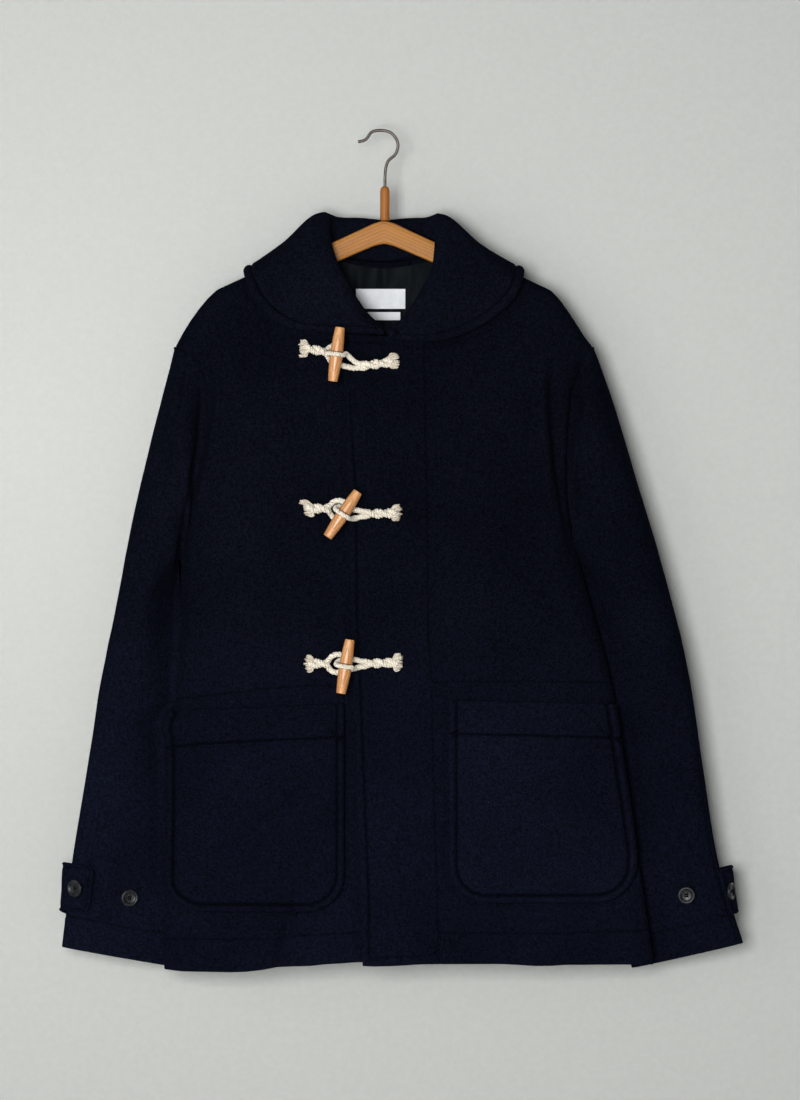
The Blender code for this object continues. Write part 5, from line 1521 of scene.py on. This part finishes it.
def make_collar():
    right = [collar_section(-1, k) for k in range(12)]
    left = [collar_section(1, k) for k in range(11)]
    sections = np.array(right + left[::-1])
    knots = np.arange(len(sections), dtype=float)
    fine = np.linspace(0, knots[-1], 900)
    edge = through(knots, sections[:, -1], fine)
    reach = np.concatenate(([0], np.cumsum(np.linalg.norm(np.diff(edge, axis=0),
                                                          axis=1))))
    at = np.interp(end_steps(reach[-1], 3.0), reach, fine)
    stations = through(knots, sections.reshape(len(sections), -1), at)
    stations = stations.reshape(len(at), len(COLLAR_KNOTS), 3)
    cuts = np.concatenate((np.linspace(0, 0.36, 18)[:-1], np.linspace(0.36, 0.5, 14)[:-1],
                           np.linspace(0.5, 0.86, 26)[:-1], np.linspace(0.86, 0.99, 16),
                           (0.994, 0.997, 1.0)))
    middle = np.stack([through(COLLAR_KNOTS, station, cuts) for station in stations])
    normals = grid_normals(middle)
    away = rim_distance(middle, ("low", "high", "last"))
    fall = smooth(cuts, 0.44, 0.56)[None, :] + 0 * away
    arc = np.linspace(0, 1, len(at))[:, None] * reach[-1] + 0 * away
    shape = rim_swell(away, COLLAR_STITCH, 2.3) * fall
    distance = np.where(fall > 0.3, away - COLLAR_STITCH, 99.0)
    shape = shape + pucker(distance, arc, 2.2, 1.8) * fall
    depth = np.linspace(0, 1, len(cuts))[None, :] * 110 + 0 * away
    shape = shape + ripple(arc, depth, 83) * 0.9
    x, z = middle[..., 0], middle[..., 2]
    shape = shape + creases(x, z, COLLAR_CREASES) * fall * smooth(-middle[..., 1], 5, 20)
    outward = normals if normals[len(at) // 2, -10, 1] > 0 else -normals
    middle = middle + outward * shape[..., None] * 0.85
    normals = grid_normals(middle)
    outward = normals if normals[len(at) // 2, -10, 1] > 0 else -normals
    made = shell("collar_cloth", middle + outward * COLLAR_CLOTH / 2, outward,
                 COLLAR_CLOTH, radius=2.4, seams=(distance, arc))
    dressed(made, WOOL_COLLAR, "wool", "collar")
    cloth(cut_size(middle))


# ------------------------------------------------------------------ what lies on them
POCKET_STEP = 2.5               # mm between the points of a pocket's grid
POCKET_WIDE = 200.0


def pocket_flat(k):
    """The pocket's grid as seen from the front, from its bottom row to its top."""
    row = {name: values[k] for name, values in POCKETS.items()}
    sign = row["sign"]
    tall = row["top_inner"] - row["bottom"]
    corner = POCKET_CORNER * (1 - np.cos(np.linspace(0, np.pi / 2, 26)))
    up = POCKET_CORNER + end_steps(tall - POCKET_CORNER, POCKET_STEP)[6:]
    lines = []
    shares = end_steps(POCKET_WIDE, POCKET_STEP) / POCKET_WIDE
    for rise in np.concatenate((corner, up)):
        inset = float(rounded(rise, POCKET_CORNER))
        reach = float(edge_out(sign, row["bottom"] + rise))
        first = math.asin((row["inner"] + inset) / reach)
        last = math.asin(min(row["outer"] - inset, reach - POCKET_SIDE) / reach)
        angles = first + (last - first) * shares
        slope = (row["top_outer"] - row["top_inner"]) * shares * rise / tall
        z = row["bottom"] + rise + slope
        out = edge_out(sign, z) * np.sin(angles)
        lines.append(np.stack((sign * out, z), axis=1))
    return np.array(lines)


def pocket_outline(flat):
    """Down one side of a pocket, along its bottom and up the other side."""
    return np.concatenate((flat[::-1, 0], flat[0], flat[:, -1]))


def make_pocket(k):
    sign = int(POCKETS["sign"][k])
    flat = pocket_flat(k)
    x, z = flat[..., 0], flat[..., 1]
    grid, normals = raised(flat, -1, front_y(sign, x, z))
    away, reach, _ = line_distance(x, z, pocket_outline(flat))
    from_top, top_reach, _ = line_distance(x, z, flat[-1])
    away, from_top = np.abs(away), np.abs(from_top)
    rim = away - POCKET_STITCH
    hem = from_top - POCKET_HEM
    shape = 1.5 + rim_swell(away, POCKET_STITCH, 2.4)
    shape = shape + pucker(rim, reach, 2.2, 1.8) + pucker(hem, top_reach, 1.5, 1.6)
    shape = shape + 0.35 * (1 - smooth(from_top, POCKET_HEM - 6, POCKET_HEM + 2))
    belly = smooth(away, 6, 60) * smooth(from_top, 0, 60)
    shape = shape + 2.0 * belly + ripple(x, z, 91 + sign) * smooth(away, 0, 20)
    shape = shape + creases(x, z, POCKET_CREASES[sign]) * smooth(away, 2, 20)
    mouth = (1 - smooth(from_top, 0, 26)) * smooth(away, 8, 60)
    shape = shape + 1.4 * mouth
    outer = grid + normals * (LAY_GAP * 0.6 + POCKET_CLOTH + shape)[..., None]
    normals = facing(outer, (0, -1, 0))
    distance = np.where(np.abs(rim) < np.abs(hem), rim, hem)
    length = np.where(np.abs(rim) < np.abs(hem), reach, top_reach)
    name = f"pocket_{side_name(sign)}"
    made = shell(f"{name}_cloth", outer, normals, POCKET_CLOTH, radius=CLOTH_ROUND,
                 seams=(distance, length))
    dressed(made, WOOL_POCKETS[sign], "wool", name)
    cloth(cut_size(outer))


def inside_back(x, z, off):
    return skin(x, z, 1) - CLOTH - off


LINING_SEAM = -3                # where its middle seam stands
LINING_TOP = -140
LINING_HEM = 52                 # half the length of its hem's stitches


def make_neck_lining():
    across = end_steps(2 * LINING_HALF, 2.4) - LINING_HALF
    shares = end_steps(100, 2.4) / 100
    x = across[None, :] + 0 * shares[:, None]
    top = neckline_back(np.abs(x)) - LINING_DROP
    z = top + (LINING_BOTTOM - top) * shares[:, None]
    puff = 0.35 * lattice(x, z, 22, 5) + 0.75 * lattice(x, 0.22 * z, 8, 6) \
        + 0.3 * lattice(x, 0.4 * z, 4, 9)
    y = inside_back(x, z, LINING_OFF + LINING_CLOTH) - puff - 0.3 \
        + 0.9 * np.exp(-((x - LINING_SEAM) / 1.6) ** 2)
    grid = np.stack((x, y, z), axis=-1)
    normals = facing(grid, (0, -1, 0))
    distance, length = stitched(x, z, [
        [(LINING_SEAM, LINING_TOP), (LINING_SEAM, LINING_BOTTOM)],
        [(-LINING_HEM, LINING_BOTTOM + 6), (LINING_HEM, LINING_BOTTOM + 6)]])
    made = shell("neck_lining_cloth", grid, normals, LINING_CLOTH,
                 seams=(distance, length))
    dressed(made, LINING, "lining", "neck_lining")
    cloth(cut_size(grid))


def make_labels():
    for name, x0, x1, top_z, bottom_z in LABELS:
        across = end_steps(x1 - x0, 1.6, (0, 0.2, 0.5, 0.9))
        down = end_steps(top_z - bottom_z, 1.4, (0, 0.2, 0.5, 0.9))
        x = x0 + across[None, :] + 0 * down[:, None]
        z = top_z - down[:, None] + 0 * x
        off = LINING_OFF + LINING_CLOTH + LABEL_OFF + LABEL_CLOTH + 0.9
        lift = 0.5 * lattice(x, z, 17, 8) + 0.5 * (np.cos(
            (x - (x0 + x1) / 2) / (x1 - x0) * 5) + 1) * 0.4
        y = inside_back(x, z, off) - lift
        grid = np.stack((x, y, z), axis=-1)
        normals = facing(grid, (0, -1, 0))
        made = shell(f"{name}_tape", grid, normals, LABEL_CLOTH)
        dressed(made, LABEL, "label", name)
        cloth(cut_size(grid))


def make_loop():
    loop = []
    for share in np.linspace(0, 1, 15):
        x = LOOP_ENDS[0] + (LOOP_ENDS[1] - LOOP_ENDS[0]) * share
        sag = LOOP_SAG * math.sin(math.pi * share)
        depth = float(inside_back(x, NECK_BACK, LOOP_OFF + sag))
        loop.append((x, depth, NECK_BACK + LOOP_SAG - sag))
    points, quads, hollow = plied(spline(loop, 90), LOOP_CORD, 5.0)
    dressed(mesh_object("hanger_loop_cord", points, quads, {"hollow": hollow}), LOOP,
            "lining", "hanger_loop")


# ------------------------------------------------------------------ cuffs and buttons
def on_sleeve(sleeve, row, col):
    """Place and normal on the scene's sleeve at the CAD grid's row and column."""
    params, angles, grid, normals = sleeve
    param = float(np.interp(row, np.arange(len(SLEEVE_ROWS)), SLEEVE_ROWS))
    i = float(np.interp(param, params, np.arange(len(params))))
    j = col * len(angles) / AROUND
    i0, j0 = int(math.floor(i)), int(math.floor(j))
    i0 = min(i0, len(params) - 2)
    di, dj = i - i0, j - j0

    def mix(table):
        def at(a, b):
            return table[a, b % len(angles)]
        return ((at(i0, j0) * (1 - dj) + at(i0, j0 + 1) * dj) * (1 - di)
                + (at(i0 + 1, j0) * (1 - dj) + at(i0 + 1, j0 + 1) * dj) * di)

    return mix(grid), unit(mix(normals))


def make_cuff(sign, sleeve):
    tab = {name: values[0 if sign < 0 else 1] for name, values in TABS.items()}
    tall = end_steps(TAB_TALL, TAB_STEP)
    span = (tab["end"] - tab["start"]) * TAB_COLUMN
    shares = end_steps(span, TAB_STEP) / span
    # The end has round corners, and the tab stands off the sleeve's outer edge.
    near = np.minimum(tall, TAB_TALL - tall)
    ends = tab["end"] - rounded(near, TAB_CORNER) / TAB_COLUMN
    col = tab["start"] + (ends - tab["start"])[:, None] * shares
    share = (tall / TAB_TALL)[:, None]
    low, high = TAB_ROWS
    row = low + (high - low) * share + tab["sink"] \
        + (tab["top_turn"] * (1 - share) + tab["low_turn"] * share) * np.maximum(col, -1)
    base = np.array([[np.concatenate(on_sleeve(sleeve, row[i, j], col[i, j]))
                      for j in range(col.shape[1])] for i in range(len(tall))])
    places, normals = base[..., :3], unit(base[..., 3:])
    loose = tab["top_off"] * (1 - share) + tab["low_off"] * share
    loose = loose - rounded(near, TAB_BLUNT)[:, None]
    loose = loose * (1 - smooth(col, 0.0, tab["end"] - 0.1)) * (1 - smooth(-col, 0.6, 4.2))
    away = rim_distance(places, ALL_SIDES)
    rim = away - TAB_STITCH
    length = np.cumsum(np.linalg.norm(np.diff(places, axis=1, prepend=places[:, :1]),
                                      axis=2), axis=1)
    down = np.cumsum(np.linalg.norm(np.diff(places, axis=0, prepend=places[:1]),
                                    axis=2), axis=0)
    sideways = rim_distance(places, ("first", "last"))
    along_side = sideways < rim_distance(places, ("low", "high"))
    reach = np.where(along_side, down, length)
    shape = rim_swell(away, TAB_STITCH, 1.2) + pucker(rim, reach, 1.0, 1.2)
    shape = shape + 0.4 * lattice(length, down, 16, 7 + sign)
    curl = 1.2 * (1 - smooth(length[:, -1:] - length, 0, 12))
    outer = places + normals * (LAY_GAP + TAB_CLOTH + 0.3 + shape + curl
                                + loose)[..., None]
    turned_out = grid_normals(outer)
    if np.einsum("ijk,ijk->ij", turned_out, normals).mean() < 0:
        turned_out = -turned_out
    name = side_name(sign)
    made = shell(f"cuff_tab_{name}_cloth", outer, turned_out, TAB_CLOTH, radius=1.9,
                 seams=(rim, reach))
    dressed(made, SLEEVE_WOOL_WITH_PAINTED_LIGHT[sign], "wool", f"cuff_tab_{name}")
    cloth(cut_size(outer))
    middle = len(tall) // 2
    at = int(np.argmin(np.abs(col[middle] - tab["button"])))
    # On its shank the button leans outward with the cuff's edge.
    normal = unit(turned_out[middle, at] + np.array((sign * tab["lean"], 0, 0)))
    make_button(f"button_tab_{name}", outer[middle, at] + normal * tab["shank"], normal,
                0.6)
    place, normal = on_sleeve(sleeve, SPARE_ROW, tab["spare"])
    make_button(f"button_sleeve_{name}", place + normal * LAY_GAP, normal, 1.9)


def placed(middle, z_axis, x_hint):
    z_axis = Vector(z_axis).normalized()
    x_axis = (Vector(x_hint) - z_axis * Vector(x_hint).dot(z_axis)).normalized()
    y_axis = z_axis.cross(x_axis)
    turn = Matrix((x_axis, y_axis, z_axis)).transposed().to_4x4()
    return Matrix.Translation(Vector(middle) * MM) @ turn


def make_button(name, place, normal, spin):
    """A turned horn button: a raised rim, a dished middle with four thread holes."""
    profile = [(0.0, 2.4), (1.0, 2.4), (2.0, 2.42), (3.0, 2.5), (4.0, 2.6), (5.0, 2.75),
               (5.8, 3.0), (6.4, 3.45), (7.0, 3.9), (7.6, 4.15), (8.2, 4.2), (8.8, 4.0),
               (9.25, 3.55), (9.48, 2.9), (9.5, 2.2), (9.35, 1.5), (8.9, 0.9),
               (8.0, 0.35), (6.0, 0.05), (0.0, 0.0)]
    dish, dish_heights = zip(*profile[:8])
    inner = [(r, float(np.interp(r, dish, dish_heights)))
             for r in np.linspace(0.45, 5.6, 17)]
    profile = inner + profile[6:-1]
    around = 72
    angles = np.linspace(0, 2 * np.pi, around, endpoint=False)
    grid = np.zeros((len(profile), around, 3))
    holes = [(1.55 * math.cos(a), 1.55 * math.sin(a)) for a in
             np.pi / 4 + np.arange(4) * np.pi / 2]
    for i, (radius, height) in enumerate(profile):
        x, y = radius * np.cos(angles), radius * np.sin(angles)
        drop = np.zeros(around)
        if i < len(inner):
            for hx, hy in holes:
                drop += 1.7 * np.exp(-(np.hypot(x - hx, y - hy) / 0.72) ** 4)
        grid[i] = np.stack((x, y, height - drop), axis=1)
    matrix = placed(place, normal, (0.3, 0, 1)) @ Matrix.Rotation(spin, 4, "Z")
    made = mesh_object(f"{name}_horn", grid.reshape(-1, 3),
                       capped(len(profile), around)[:, ::-1], matrix=matrix)
    dressed(made, HORN, "button", name)
    threads = []
    for start, end in ((0, 1), (3, 2)):
        a, b = np.array(holes[start]), np.array(holes[end])
        for shift in (-0.28, 0.28):
            normal_2d = np.array((-(b - a)[1], (b - a)[0])) / np.linalg.norm(b - a)
            route = [(*(a + normal_2d * shift), 1.2), (*(a + normal_2d * shift), 2.5),
                     (*((a + b) / 2 + normal_2d * shift), 2.95),
                     (*(b + normal_2d * shift), 2.5), (*(b + normal_2d * shift), 1.2)]
            threads.append(sweep(spline(route, 14), 0.3, 6)[:2])
    thread = mesh_object(f"{name}_thread", *joined(threads), matrix=matrix)
    dressed(thread, LOOP, "button")


# ------------------------------------------------------------------ toggles and ropes
def rope_base(x, z):
    edge = placket_line(z)
    return skin(x, z, -1) - OVERLAP * smooth(x, edge - 9, edge - 1)


def helix(start, end, phase):
    start, end = np.array(start, float), np.array(end, float)
    length = np.linalg.norm(end - start)
    direction = (end - start) / length
    across = np.array((-direction[1], direction[0]))
    places = []
    count = max(4, int(length / TWIST_PITCH * 8))
    for share in np.linspace(0, 1, count):
        angle = phase + 2 * math.pi * length * share / TWIST_PITCH
        x, z = start + direction * length * share + across * TWIST_RADIUS * math.cos(angle)
        places.append((x, TWIST_HEIGHT + TWIST_RADIUS * math.sin(angle), z))
    return places


def on_cloth(places, heights):
    """(x, height, z) of places in the picture, at heights above the cloth."""
    heights = np.interp(np.linspace(0, 1, len(places)),
                        np.linspace(0, 1, len(heights)), heights)
    return [(x, height, z) for (x, z), height in zip(seen_at(places, -60), heights)]


def band_loop(row, route):
    """Over the toggle from its right, round an eye on its left, and back behind it."""
    lean = math.radians(row["tilt"])
    across = np.array((math.cos(lean), -math.sin(lean)))
    axis = np.array((math.sin(lean), math.cos(lean)))
    side = -1 if route["high"] else 1
    places = on_cloth(route["band"][::-1], (3.2, 4.5, 14.0))
    for degrees, wide, slide in (
            (20, 8.2, 0.2), (50, 8.8, 0.1), (75, 9.4, 0), (95, 9.6, 0), (120, 9.6, 0),
            (148, 9.8, 0), (172, 10.4, 0.6), (194, 10.9, 2.2), (216, 11.2, 4.2),
            (240, 11.0, 5.6), (272, 10.0, 6.0)):
        turn = math.radians(degrees)
        flat = across * wide * math.cos(turn) + axis * side * slide
        places.append((row["x"] + flat[0], TOGGLE_HEIGHT + BAND_RADIUS * math.sin(turn),
                       row["z"] + flat[1]))
    places += on_cloth(route["behind"], (8.0, 5.0, 3.3, 3.2))
    return places if route["high"] else places[::-1]


def make_rope(name, twist, loop, seed):
    start, end = seen_at(twist, -60)
    out, back = helix(start, end, 0.0), helix(start, end, math.pi)
    places = np.array(out[::-1] + loop + back)
    x, z = places[:, 0], places[:, 2]
    route = spline(np.stack((x, rope_base(x, z) - places[:, 1], z), axis=1), 380)
    off = rope_base(route[:, 0], route[:, 2]) - route[:, 1]
    strand = STRAND * (1.08 - 0.22 * smooth(off, 9, 15))
    points, quads, hollow = plied(route, strand, 8.6, 8, 0.0, seed)
    dressed(mesh_object(f"{name}_cotton", points, quads, {"hollow": hollow}), ROPE,
            "rope", name)


def make_tuft(name, box, seed):
    """The frayed end of a rope: clumps of yarn that flare out from where it is sewn."""
    chance = np.random.RandomState(seed)
    (inner, top), (outer, bottom) = seen_at(((box[0], box[2]), (box[1], box[3])), -60)
    middle, half = (top + bottom) / 2, (top - bottom) / 2 - 0.5
    way = math.copysign(1.0, outer - inner)
    parts, hollow = [], []
    clumps = 9
    for c in range(clumps):
        lean = -1 + 2 * (c + 0.5) / clumps
        tip = chance.uniform(0.80, 1.06)
        hook = chance.uniform(-1.0, 1.0)
        for _ in range(15):
            own = float(np.clip(lean + chance.normal(0, 0.06), -1.06, 1.06))
            level = chance.uniform(0, 1)
            long = (abs(outer - inner) + 3.0) * tip * chance.uniform(0.86, 1.06)
            long *= 1 - 0.08 * abs(own) ** 3
            phase = chance.uniform(0, 6.28)
            route = []
            for t in np.linspace(0, 1, 8):
                flare = float(smooth(t, 0.16, 0.52))
                x = inner + way * (-3.0 + long * t) + way * box[4] * own * flare
                z = middle + own * (3.2 + (half - 3.2) * flare) \
                    + 0.45 * math.sin(7 * t + phase) + hook * 0.9 * t ** 3
                tall = (8.4 - 2.8 * own ** 2) * (0.8 + 0.2 * math.sin(3 * t + 0.3))
                height = STRAND_GAP + 0.8 + tall * level
                route.append((x, float(rope_base(x, z)) - height, z))
            thin = 0.66 * chance.uniform(0.8, 1.2) * (
                1 + 0.18 * np.sin(np.linspace(0, 9, 8) + phase)) * np.array(
                (0.9, 1, 1, 1, 1, 1, 0.9, 0.5))
            points, quads = sweep(np.array(route), thin, 6)[:2]
            parts.append((points, quads))
            # Painted shade: yarns lying lower in the tuft are given more of the cord's
            # shadow colour, and a few more at random.
            hollow.append(np.full(len(points),
                                  0.18 + 0.60 * (1 - level) + 0.3 * chance.rand() ** 3))
    points, quads = joined(parts)
    dressed(mesh_object(f"{name}_yarn", points, quads,
                        {"hollow": np.concatenate(hollow)}), ROPE, "rope", name)


def make_toggle(name, row, middle):
    half = TOGGLE_LENGTH / 2
    heights = np.concatenate(((half, half, half - 0.12, half - 0.45, half - 1.0),
                              np.linspace(half - 2, 2 - half, 120),
                              (1.0 - half, 0.45 - half, 0.12 - half, -half, -half)))
    radii = TOGGLE_RADIUS - (TOGGLE_RADIUS - TOGGLE_END_RADIUS) * np.abs(
        heights / half) ** 1.6
    ends = np.array((0.5, 0.80, 0.92, 0.975, 0.998))
    radii = radii - 0.55 * np.exp(-(np.maximum(np.abs(heights - 0.4) - 1.9, 0) / 0.5) ** 2)
    radii[:5] *= ends
    radii[-5:] *= ends[::-1]
    around = 64
    angles = np.linspace(0, 2 * np.pi, around, endpoint=False)
    grid = np.zeros((len(heights), around, 3))
    for i, (height, radius) in enumerate(zip(heights, radii)):
        uneven = 1 + 0.012 * np.sin(2 * angles + 1 + height * 0.04) \
            + 0.008 * np.sin(3 * angles + 2)
        grid[i] = np.stack((radius * uneven * np.cos(angles),
                            radius * uneven * np.sin(angles),
                            np.full(around, height)), axis=1)
    faces = capped(len(heights), around)[:, ::-1]
    lean = math.radians(row["tilt"])
    height = TOGGLE_HEIGHT + row["seat"]
    centre = (row["x"], float(rope_base(*middle)) - height, row["z"])
    matrix = placed(centre, (math.sin(lean), 0, math.cos(lean)), (0, -1, 0))
    made = mesh_object(f"{name}_turned", grid.reshape(-1, 3), faces, matrix=matrix)
    dressed(made, TOGGLE_WOOD, "toggle_wood", name)


def make_fastening(k):
    row = {name: values[k] for name, values in TOGGLES.items()}
    route, name = ROPES[k], TOGGLE_NAMES[k]
    make_rope(f"rope_left_{name}", route["twist"], band_loop(row, route), 11 + k)
    make_rope(f"rope_right_{name}", route["eye"],
              on_cloth(route["loop"], (LYING_HEIGHT,)), 31 + k)
    make_tuft(f"rope_tuft_right_{name}", route["tufts"][0], 200 + k)
    make_tuft(f"rope_tuft_left_{name}", route["tufts"][1], 100 + k)
    make_toggle(f"toggle_{name}", row, (row["x"], row["z"]))


# ------------------------------------------------------------------ hanger
def make_bar():
    xs = np.concatenate((np.linspace(-187.5, -176, 8)[:-1], np.linspace(-176, 176, 120),
                         np.linspace(176, 187.5, 8)[1:]))
    around = 40
    grid = np.zeros((len(xs), around, 3))
    for i, x in enumerate(xs):
        soft = math.sqrt(x * x + 9.0)
        top = float(np.interp(soft, BAR["out"], BAR["top"])) + 0.6
        bottom = float(np.interp(soft, BAR["out"], BAR["bottom"])) + 0.6
        half = float(np.interp(abs(x), BAR["out"], BAR["half"]))
        middle, tall = (top + bottom) / 2, (top - bottom) / 2
        angles = np.linspace(0, 2 * np.pi, around, endpoint=False)
        c, s = np.cos(angles), np.sin(angles)
        y = half * np.sign(c) * np.abs(c) ** 0.38
        z = middle + tall * np.sign(s) * np.abs(s) ** 0.30
        grid[i] = np.stack((np.full(around, x), y, z), axis=1)
    made = mesh_object("hanger_bar_wood", grid.reshape(-1, 3), capped(len(xs), around))
    outward(made)
    dressed(made, HANGER_WOOD, "hanger_wood", "hanger_bar")

def make_dowel():
    foot = BAR["top"][0] + GAP
    profile = [(0.6, DOWEL_TOP), (2.2, DOWEL_TOP - 0.3), (3.4, DOWEL_TOP - 1.1),
               (4.5, DOWEL_TOP - 2.5), (5.1, DOWEL_TOP - 4.3), (5.4, DOWEL_TOP - 6.5)]
    profile += [(DOWEL_RADIUS, h) for h in np.linspace(DOWEL_TOP - 10, foot + 0.4, 12)]
    profile += [(DOWEL_RADIUS - 0.3, foot), (0.6, foot)]
    around = 48
    angles = np.linspace(0, 2 * np.pi, around, endpoint=False)
    rings = [np.stack((r * np.cos(angles), r * np.sin(angles), np.full(around, h)),
                      axis=1) for r, h in profile]
    middle = HOOK["x"][-1]
    points = np.concatenate(rings) + np.array((middle, 0, 0))
    made = mesh_object("hanger_neck_wood", points, capped(len(profile), around))
    outward(made)
    dressed(made, DOWEL_WOOD, "hanger_wood", "hanger_neck")

def make_hook():
    route = np.stack((HOOK["x"], np.zeros(len(HOOK["x"])), HOOK["z"]), axis=1)
    points, quads = sweep(spline(route, 160), HOOK_WIRE / 2, 20)[:2]
    made = mesh_object("hanger_hook_wire", points, quads)
    outward(made)
    dressed(made, STEEL, "steel", "hanger_hook")


def outward(made):
    """Face a closed mesh outward."""
    shape = bmesh.new()
    shape.from_mesh(made.data)
    bmesh.ops.recalc_face_normals(shape, faces=shape.faces)
    shape.to_mesh(made.data)
    shape.free()
    made.data.shade_smooth()


# ------------------------------------------------------------------ stage and light
WALL_Y = 53.0
FLOOR_Z = -1420.0
WALL_HALF, WALL_TOP = 3200.0, 2400.0
FLOOR_HALF = 9000.0


def plaster():
    """Limewashed plaster with a painted pool of light, clear from behind so that views of
    the back see the coat.
    """
    m = Finish("stage_plaster")
    cloudy = m.noise(130, 5, 0.6)
    colour = m.mixed(m.mapped(cloudy, 0.3, 0.7), (0.425, 0.434, 0.420),
                     (0.441, 0.450, 0.436))
    # Painted light: the plaster is painted palest on the left at chest height and darker
    # further away, as a pool of light.
    apart = m.add("VectorMath", {0: m.stretched((1.0, 1.0, 1.6)),
                                 1: (-0.45, 0.053, -0.53)},
                  operation="DISTANCE").outputs["Value"]
    colour = m.times_tone(colour, m.mapped(apart, 0.0, 1.45, 1.0, 0.775, "LINEAR"))
    normal = m.bumped(cloudy, 0.0012, 0.2, m.bumped(m.noise(620, 3, 0.6), 0.0004, 0.35))
    made = m.done(colour, {"Normal": normal, "Roughness": 0.95,
                           "Specular IOR Level": 0.1})
    choice = m.add("MixShader", {0: m.add("NewGeometry").outputs["Backfacing"],
                                 1: m.shader.outputs[0],
                                 2: m.add("BsdfTransparent").outputs[0]})
    m.fill(m.tree.nodes["Material Output"], {0: choice.outputs[0]})
    return made


def make_stage():
    w, f = WALL_HALF, FLOOR_HALF
    wall = mesh_object("stage_wall", [(-w, WALL_Y, FLOOR_Z), (w, WALL_Y, FLOOR_Z),
                                      (w, WALL_Y, WALL_TOP), (-w, WALL_Y, WALL_TOP)],
                       [(0, 1, 2, 3)])
    wall.data.materials.append(plaster())
    wall.visible_shadow = False
    floor = mesh_object("stage_floor", [(-f, -f, FLOOR_Z), (f, -f, FLOOR_Z),
                                        (f, f, FLOOR_Z), (-f, f, FLOOR_Z)],
                        [(0, 1, 2, 3)])
    m = Finish("stage_floor")
    floor.data.materials.append(m.done(
        m.mixed(m.noise(6, 4, 0.6), (0.60, 0.60, 0.58), (0.66, 0.66, 0.64)),
        {"Roughness": 0.8}))


def area_light(name, place, target, size, energy, colour=(1, 1, 1)):
    lamp = bpy.data.lights.new(name, "AREA")
    lamp.shape = "SQUARE"
    lamp.size = size
    lamp.energy = energy
    lamp.color = colour
    made = bpy.data.objects.new(name, lamp)
    bpy.context.scene.collection.objects.link(made)
    made.location = place
    made.rotation_euler = (Vector(target) - Vector(place)).to_track_quat(
        "-Z", "Y").to_euler()
    made.visible_camera = False
    return made


def make_light():
    area_light("window", (-1.05, -6.5, -0.30), (0, 0, -0.5), 2.3, 508, (1.0, 0.998, 0.99))
    area_light("side", (-2.6, -2.4, -0.2), (0, 0, -0.5), 2.2, 27, (1.0, 0.99, 0.975))
    area_light("back_fill", (1.6, 3.4, 0.8), (0, 0, -0.45), 2.2, 165)
    world = bpy.data.worlds.new("soft_room")
    world.use_nodes = True
    back = world.node_tree.nodes["Background"]
    back.inputs[0].default_value = (0.93, 0.96, 1.0, 1)
    back.inputs[1].default_value = 0.16
    bpy.context.scene.world = world
    bpy.context.scene.view_settings.view_transform = "Standard"
    bpy.context.scene.view_settings.look = "None"


make_stage()
make_light()
make_back()
for side in (-1, 1):
    make_front(side)
    make_cuff(side, make_sleeve(side))
    make_armhole_seam(side)
make_collar()
for pocket in range(2):
    make_pocket(pocket)
make_neck_lining()
make_labels()
make_loop()
for fastening in range(3):
    make_fastening(fastening)
make_bar()
make_dowel()
make_hook()


bpy.context.view_layer.update()
